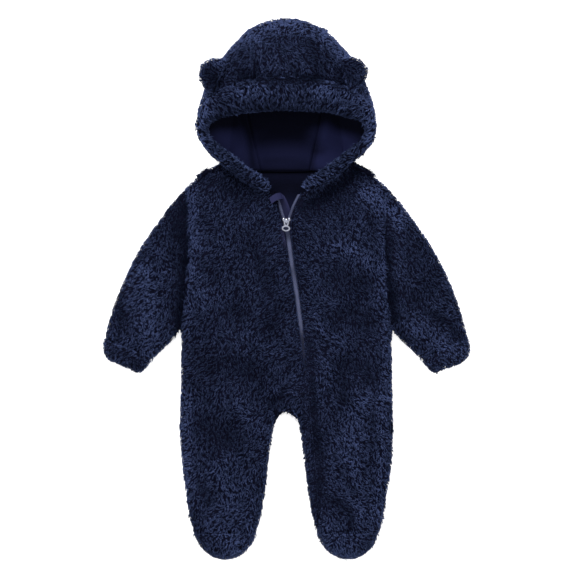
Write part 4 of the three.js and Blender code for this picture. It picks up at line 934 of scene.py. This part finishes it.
def put_in_order(mesh):
    """Sorts a mesh's points, edges and faces by place. Blender makes new ones in any order, and the
    pile is scattered by it."""
    for items in (mesh.verts, mesh.edges, mesh.faces):
        for rank, item in enumerate(sorted(items, key=place_of)):
            item.index = rank
        items.sort()


def place_of(item):
    """The middle of a point, edge or face, rounded off."""
    points = [v.co for v in item.verts] if hasattr(item, "verts") else [item.co]
    middle = sum(points, Vector()) / len(points)
    return tuple(round(c, 6) for c in middle)


TURNED_IN, TURNED_LESS = 3.6, 3.2  # in millimetres, and how much less where it is pressed
TURNED_UNDER, ZIP_UNDER_LESS = 1.5, 0.8  # in millimetres, and what share less beside the zip
PRESSED_UNDER = 5  # in millimetres, on top of that where it is pressed


def fur_allowance(name):
    """A sherpa panel's allowance: it goes down beside a piece that it is pressed against, and
    keeps off the zip."""

    def allowance(point, normal):
        near, _, _ = zip_side(np.array([point]))
        held = pressed(name, point, normal) * (1 - near[0])
        inward = TURNED_IN - TURNED_LESS * held
        under = TURNED_UNDER * (1 - ZIP_UNDER_LESS * near[0]) + PRESSED_UNDER * held
        return inward * MM, under * MM

    return allowance


def rest_on_floor(data):
    """Keeps a piece off the floor that the romper lies on."""
    points, _ = point_normals(data)
    points[:, 2] = points[:, 2].clip(FLOOR_GAP, None)
    move_points(data, points)


SWELL_HEIGHT, LUMP_HEIGHT = 0.9, 0.6  # of the uneven cloth, in millimetres
ZIP_DRAW_LESS, PRESSED_DRAW_LESS = 0.5, 0.9  # how much less it is drawn in there, at the most
RESTS_BELOW = 12 * MM  # cloth that looks down from lower than this lies on the floor
BACKING_TONE, BACKING_BRUSHED, BARE_TONE, BACKING_LIGHTEST = 0.10, 0.04, 0.7, 0.9


def sherpa_panel(name, growth):
    """A panel's backing cloth and the pile on it."""
    sheet = open_faces(name, levels=1)
    points, normals = point_normals(sheet.data)
    near, _, _ = zip_side(points)
    rests = (normals[:, 2] < RESTS) & (points[:, 2] < RESTS_BELOW)
    soft = np.where(rests, 0, 1.0) * (1 - near)
    held = np.array([pressed(name, p, n) for p, n in zip(points, normals)]) * (1 - near)
    draw_in = DRAW_IN * FULLER.get(name[:4], 1) * (1 - ZIP_DRAW_LESS * near) * (1 - PRESSED_DRAW_LESS * held)
    swell = soft * (SWELL_HEIGHT * SWELL(points) + LUMP_HEIGHT * LUMPS(points)) * MM
    sunk, _ = fold_amounts(points, folds_of(name))
    sunk = soft * np.where(normals[:, 2] > 0, sunk, 0)
    points = points - normals * (draw_in - swell + sunk)[:, None]
    if name == "front_left":
        away = np.linalg.norm(points[:, :2] - ZIP_CORNER, axis=1)
        points[:, 0] += CORNER_SHIFT * np.exp(-((away / CORNER_REACH) ** 2))
    move_points(sheet.data, points)
    turn_in(sheet, fur_allowance(name))
    pile = grow_pile(name, sheet, **growth)
    cloth = shell(sheet, BACKING, BACKING_CLOTH, name + "_cloth")
    rest_on_floor(cloth.data)
    at, _ = point_normals(cloth.data)
    tone = BACKING_TONE + BACKING_BRUSHED * BRUSHED(at) + BARE_TONE * flattened(name, at)
    marked(cloth.data, "tone", tone.clip(0, BACKING_LIGHTEST))
    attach(cloth, ROMPER)
    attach(pile, ROMPER)
    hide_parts(name)
    return cloth, pile


# Where each of the hood lining's two seams lies, how wide the jersey moves with it, the heights
# that its slant runs between, and how far it moves at each, in millimetres.
LINING_SEAMS = [
    # x, reach, (low, high), (shift at low, shift at high)
    (-37, 24, (162, 240), (-2, -17)),
    (37, 24, (162, 240), (-2, 11)),
]
LINING_TURNING = (2.5 * MM, 0.8 * MM)  # in, and under the next piece
LINING_TONE, LINING_DARKEST = 0.45, 0.02


def slanted(points):
    """The two seams of the hood's lining spread apart towards the crown."""
    x, y = points[:, 0] / MM, points[:, 1] / MM
    right, left = (
        np.interp(y, heights, shifts) * np.exp(-(((x - seam) / reach) ** 2))
        for seam, reach, heights, shifts in LINING_SEAMS
    )
    return points + np.stack([(right + left) * MM, 0 * x, 0 * x], 1)


def lining_panel(name, shows=None):
    """A panel of the jersey lining, of the faces that show."""
    sheet = open_faces(name, shows)
    points, normals = point_normals(sheet.data)
    sunk, _ = fold_amounts(points, LINING_FOLDS_AND_SHADE)
    move_points(sheet.data, slanted(points) - normals * sunk[:, None])
    turn_in(sheet, lambda point, normal: LINING_TURNING)
    cloth = shell(sheet, JERSEY, LINING, name + "_cloth")
    # The jersey's tone carries the painted shade and painted highlights of its wrinkles, and the painted
    # shadow of the hood's band.
    _, shaded = fold_amounts(point_normals(cloth.data)[0], LINING_FOLDS_AND_SHADE)
    marked(cloth.data, "tone", (LINING_TONE + shaded).clip(LINING_DARKEST, 1))
    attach(cloth, ROMPER)
    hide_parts(name)
    return cloth


# ---- Zip ----


def whole_piece(name, material, body=ROMPER, round_off=0.0, tone=0.5, finer=0):
    """A copy of a solid, with its edges rounded off or its faces cut finer."""
    data = NODES[name].data.copy()
    piece = added(name + "_finished", data)
    mesh = bmesh.new()
    mesh.from_mesh(data)
    bmesh.ops.remove_doubles(mesh, verts=mesh.verts, dist=SAME_PLACE)
    if finer:
        bmesh.ops.subdivide_edges(mesh, edges=mesh.edges, cuts=finer, use_grid_fill=True)
    else:
        bmesh.ops.dissolve_limit(mesh, angle_limit=0.02, verts=mesh.verts, edges=mesh.edges)
    mesh.to_mesh(data)
    mesh.free()
    if round_off:
        bevel = piece.modifiers.new("round", "BEVEL")
        bevel.width = round_off
        bevel.segments = 2
        bevel.limit_method = "ANGLE"
        applied(piece)
    finished(piece.data, material, smooth=bool(round_off))
    marked(piece.data, "tone", tone)
    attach(piece, body)
    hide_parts(name)
    return piece


# Where the closed zip catches the light, and where the pile shades it, in the folds' columns.
ZIP_SHADES = [
    (2, 60, 6, 34, 0, 7, 0, 0.54),
    (12, 8, 21, -52, 0, 9, 0, 0.54),
    (22, -76, 30, -130, 0, 14, 0, -0.34),
    (1, 88, 2, 72, 0, 6, 0, -0.12),
    (-12, 114, -4, 100, 0, 6, 0, 0.20),
    (16, 128, 12, 118, 0, 6, 0, 0.26),
]
# Where the satin of the guard above the zip shines.
GUARD_SHADES = [
    (-8, 134, 6, 108, 1.5, 1.8, 0, 0.34),
    (-16, 128, -6, 131, 0, 6, 0, 0.30),
]
GUARD_TONE, GUARD_FOLD_TONE = 0.18, 0.44
TOOTH_PITCH = 1.5 * MM
COIL_END = -0.14  # below this the fronts close over the coil
WIRE_RADIUS = 0.55 * MM
WIRE_END = 0.45  # the share of that at a loop's two ends
COIL_WIDTH = 4.2 * MM
COIL_INSIDE = 0.55  # the share of the width that lies on the inner side of the chain's middle
COIL_LIFT, COIL_ARCH = 0.5 * MM, 0.55 * MM
COIL_TONE, COIL_DARKEST = 0.44, 0.05


def coil(name, chain, away):
    """One side's nylon coil: a row of small rounded loops."""
    sections, around = 5, 6
    points, faces = [], []
    y = chain[0, 0] - TOOTH_PITCH
    while y > COIL_END:
        x = np.interp(-y, -chain[:, 0], chain[:, 1])
        z = np.interp(-y, -chain[:, 0], chain[:, 2])
        start = len(points)
        for i in range(sections):
            t = i / (sections - 1)
            across = x + away * (t - COIL_INSIDE) * COIL_WIDTH
            height = z + COIL_LIFT + COIL_ARCH * math.sin(math.pi * t)
            fat = WIRE_RADIUS * (WIRE_END if i in (0, sections - 1) else 1)
            for k in range(around):
                a = 2 * math.pi * k / around
                points.append((across, y + fat * math.cos(a), height + fat * math.sin(a)))
        for i in range(sections - 1):
            for k in range(around):
                a, b = start + i * around + k, start + i * around + (k + 1) % around
                faces.append((a, b, b + around, a + around))
        faces.append(tuple(start + k for k in reversed(range(around))))
        faces.append(tuple(start + (sections - 1) * around + k for k in range(around)))
        y -= TOOTH_PITCH
    data = bpy.data.meshes.new(name)
    data.from_pydata(points, [], faces)
    finished(data, COIL)
    piece = added(name, data)
    _, shaded = fold_amounts(point_normals(data)[0], ZIP_SHADES)
    marked(data, "tone", (COIL_TONE + shaded).clip(COIL_DARKEST, 1))
    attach(piece, ROMPER)
    return piece


PULL_LEAN = math.radians(-3.5)  # the pull hangs a little towards the wearer's right
PULL_HINGE = Vector((0, 93 * MM, 0))
SHOULDER = (1.7 * MM, 2.7 * MM, 1.1 * MM)  # half as wide, long and high as each is
# How far a shoulder's edge lies past the plate's side and upper edge, and its middle over the plate.
SHOULDER_OUT = (0.4 * MM, 0.3 * MM, -0.2 * MM)


def slider_shoulders():
    """The two rounded shoulders of the slider's top plate, over the open chains."""
    points, _ = solid_arrays("zip_slider")
    low, high = points.min(0), points.max(0)
    mesh = bmesh.new()
    for side in (-1, 1):
        x = (low[0] + high[0]) / 2 + side * ((high[0] - low[0]) / 2 - SHOULDER[0] + SHOULDER_OUT[0])
        y = high[1] - SHOULDER[1] + SHOULDER_OUT[1]
        place = Matrix.Translation((x, y, high[2] + SHOULDER_OUT[2])) @ Matrix.Diagonal((*SHOULDER, 1))
        bmesh.ops.create_uvsphere(mesh, u_segments=16, v_segments=10, radius=1, matrix=place)
    put_in_order(mesh)
    data = bpy.data.meshes.new("zip_slider_shoulders")
    mesh.to_mesh(data)
    mesh.free()
    finished(data, SLIDER_METAL)
    marked(data, "tone", 0.7)
    piece = added("zip_slider_shoulders", data)
    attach(piece, ROMPER)


def make_zip():
    """The tapes and coils, the guard above them, and the slider with its pull."""
    for side, chain, away in (("right", CHAIN_RIGHT, -1), ("left", CHAIN_LEFT, 1)):
        tape = whole_piece(f"zip_tape_{side}", TAPE)
        teeth = coil(f"zip_coil_{side}", chain, away)
        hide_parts(f"zip_chain_{side}")
    guard = whole_piece("zip_guard", GUARD_CLOTH, finer=3)
    _, shaded = fold_amounts(point_normals(guard.data)[0], GUARD_SHADES)
    marked(guard.data, "tone", GUARD_TONE + shaded)
    fold = whole_piece("zip_guard_fold", GUARD_CLOTH, tone=GUARD_FOLD_TONE)
    # The plate takes the metal's dark colour as painted shade.
    whole_piece("zip_slider", SLIDER_METAL, round_off=0.35 * MM, tone=0.06)
    slider_shoulders()
    whole_piece("zip_bail", SLIDER_METAL, round_off=0.2 * MM, tone=0.8)
    pull = whole_piece("zip_pull", SLIDER_METAL, PULL_TAB, round_off=0.25 * MM, tone=0.85)
    lean = Matrix.Rotation(PULL_LEAN, 4, "Z")
    pull.data.transform(Matrix.Translation(PULL_HINGE) @ lean @ Matrix.Translation(-PULL_HINGE))


# ---- Camera, light and floor ----


VIEW_WIDTH = 0.8022  # how much of the floor the camera takes in, and how far up its middle lies
VIEW_MIDDLE = 0.0018
LENS = 240
FLOOR_HALF = 6
FLOOR_DROP = 0.5 * MM  # the floor lies this far under the romper


def studio():
    """A camera straight above, a pale floor, a lamp beyond the hood and one on either side."""
    scene = bpy.context.scene
    camera = added("camera", bpy.data.cameras.new("camera"))
    camera.data.lens = LENS
    camera.location = (0, VIEW_MIDDLE, camera.data.lens / camera.data.sensor_width * VIEW_WIDTH)
    camera.data.clip_end = 50
    scene.camera = camera
    floor_data = bpy.data.meshes.new("floor")
    corners = [(FLOOR_HALF * x, FLOOR_HALF * y, 0) for x, y in ((-1, -1), (1, -1), (1, 1), (-1, 1))]
    floor_data.from_pydata(corners, [], [(0, 1, 2, 3)])
    floor = added("floor", floor_data)
    floor.location.z = -FLOOR_DROP
    paper, shader = plain_material("pale_floor", roughness=0.9)
    shader.inputs["Base Color"].default_value = (0.78, 0.78, 0.78, 1)
    shader.inputs["Emission Color"].default_value = WHITE
    shader.inputs["Emission Strength"].default_value = 0.8
    floor_data.materials.append(paper)
    lamp("key", (-0.45, 2.1, 1.9), size=1.5, power=62)
    lamp("right_side", (2.2, -0.2, 1.3), size=1.2, power=16)
    lamp("left_side", (-2.2, -0.2, 1.3), size=1.2, power=16)
    world = bpy.data.worlds.new("studio")
    scene.world = world
    world.use_nodes = True
    sky = world.node_tree.nodes["Background"]
    sky.inputs["Color"].default_value = WHITE
    sky.inputs["Strength"].default_value = 0.6
    scene.view_settings.view_transform = "Standard"


def lamp(name, place, size, power):
    """A square lamp turned towards the middle of the floor."""
    data = bpy.data.lights.new(name, "AREA")
    data.size = size
    data.energy = power
    light = added(name, data)
    light.location = place
    light.rotation_euler = (-Vector(place)).to_track_quat("-Z", "Y").to_euler()


# ---- The whole romper ----


studio()
for panel, growth in PANELS.items():
    cloth, pile = sherpa_panel(panel, growth)
for panel in ("hood_lining_centre", "hood_lining_side_right", "hood_lining_side_left"):
    lining_panel(panel)
lining_panel("neck_lining", lambda f: f.normal.z > NECK_UP)
make_zip()
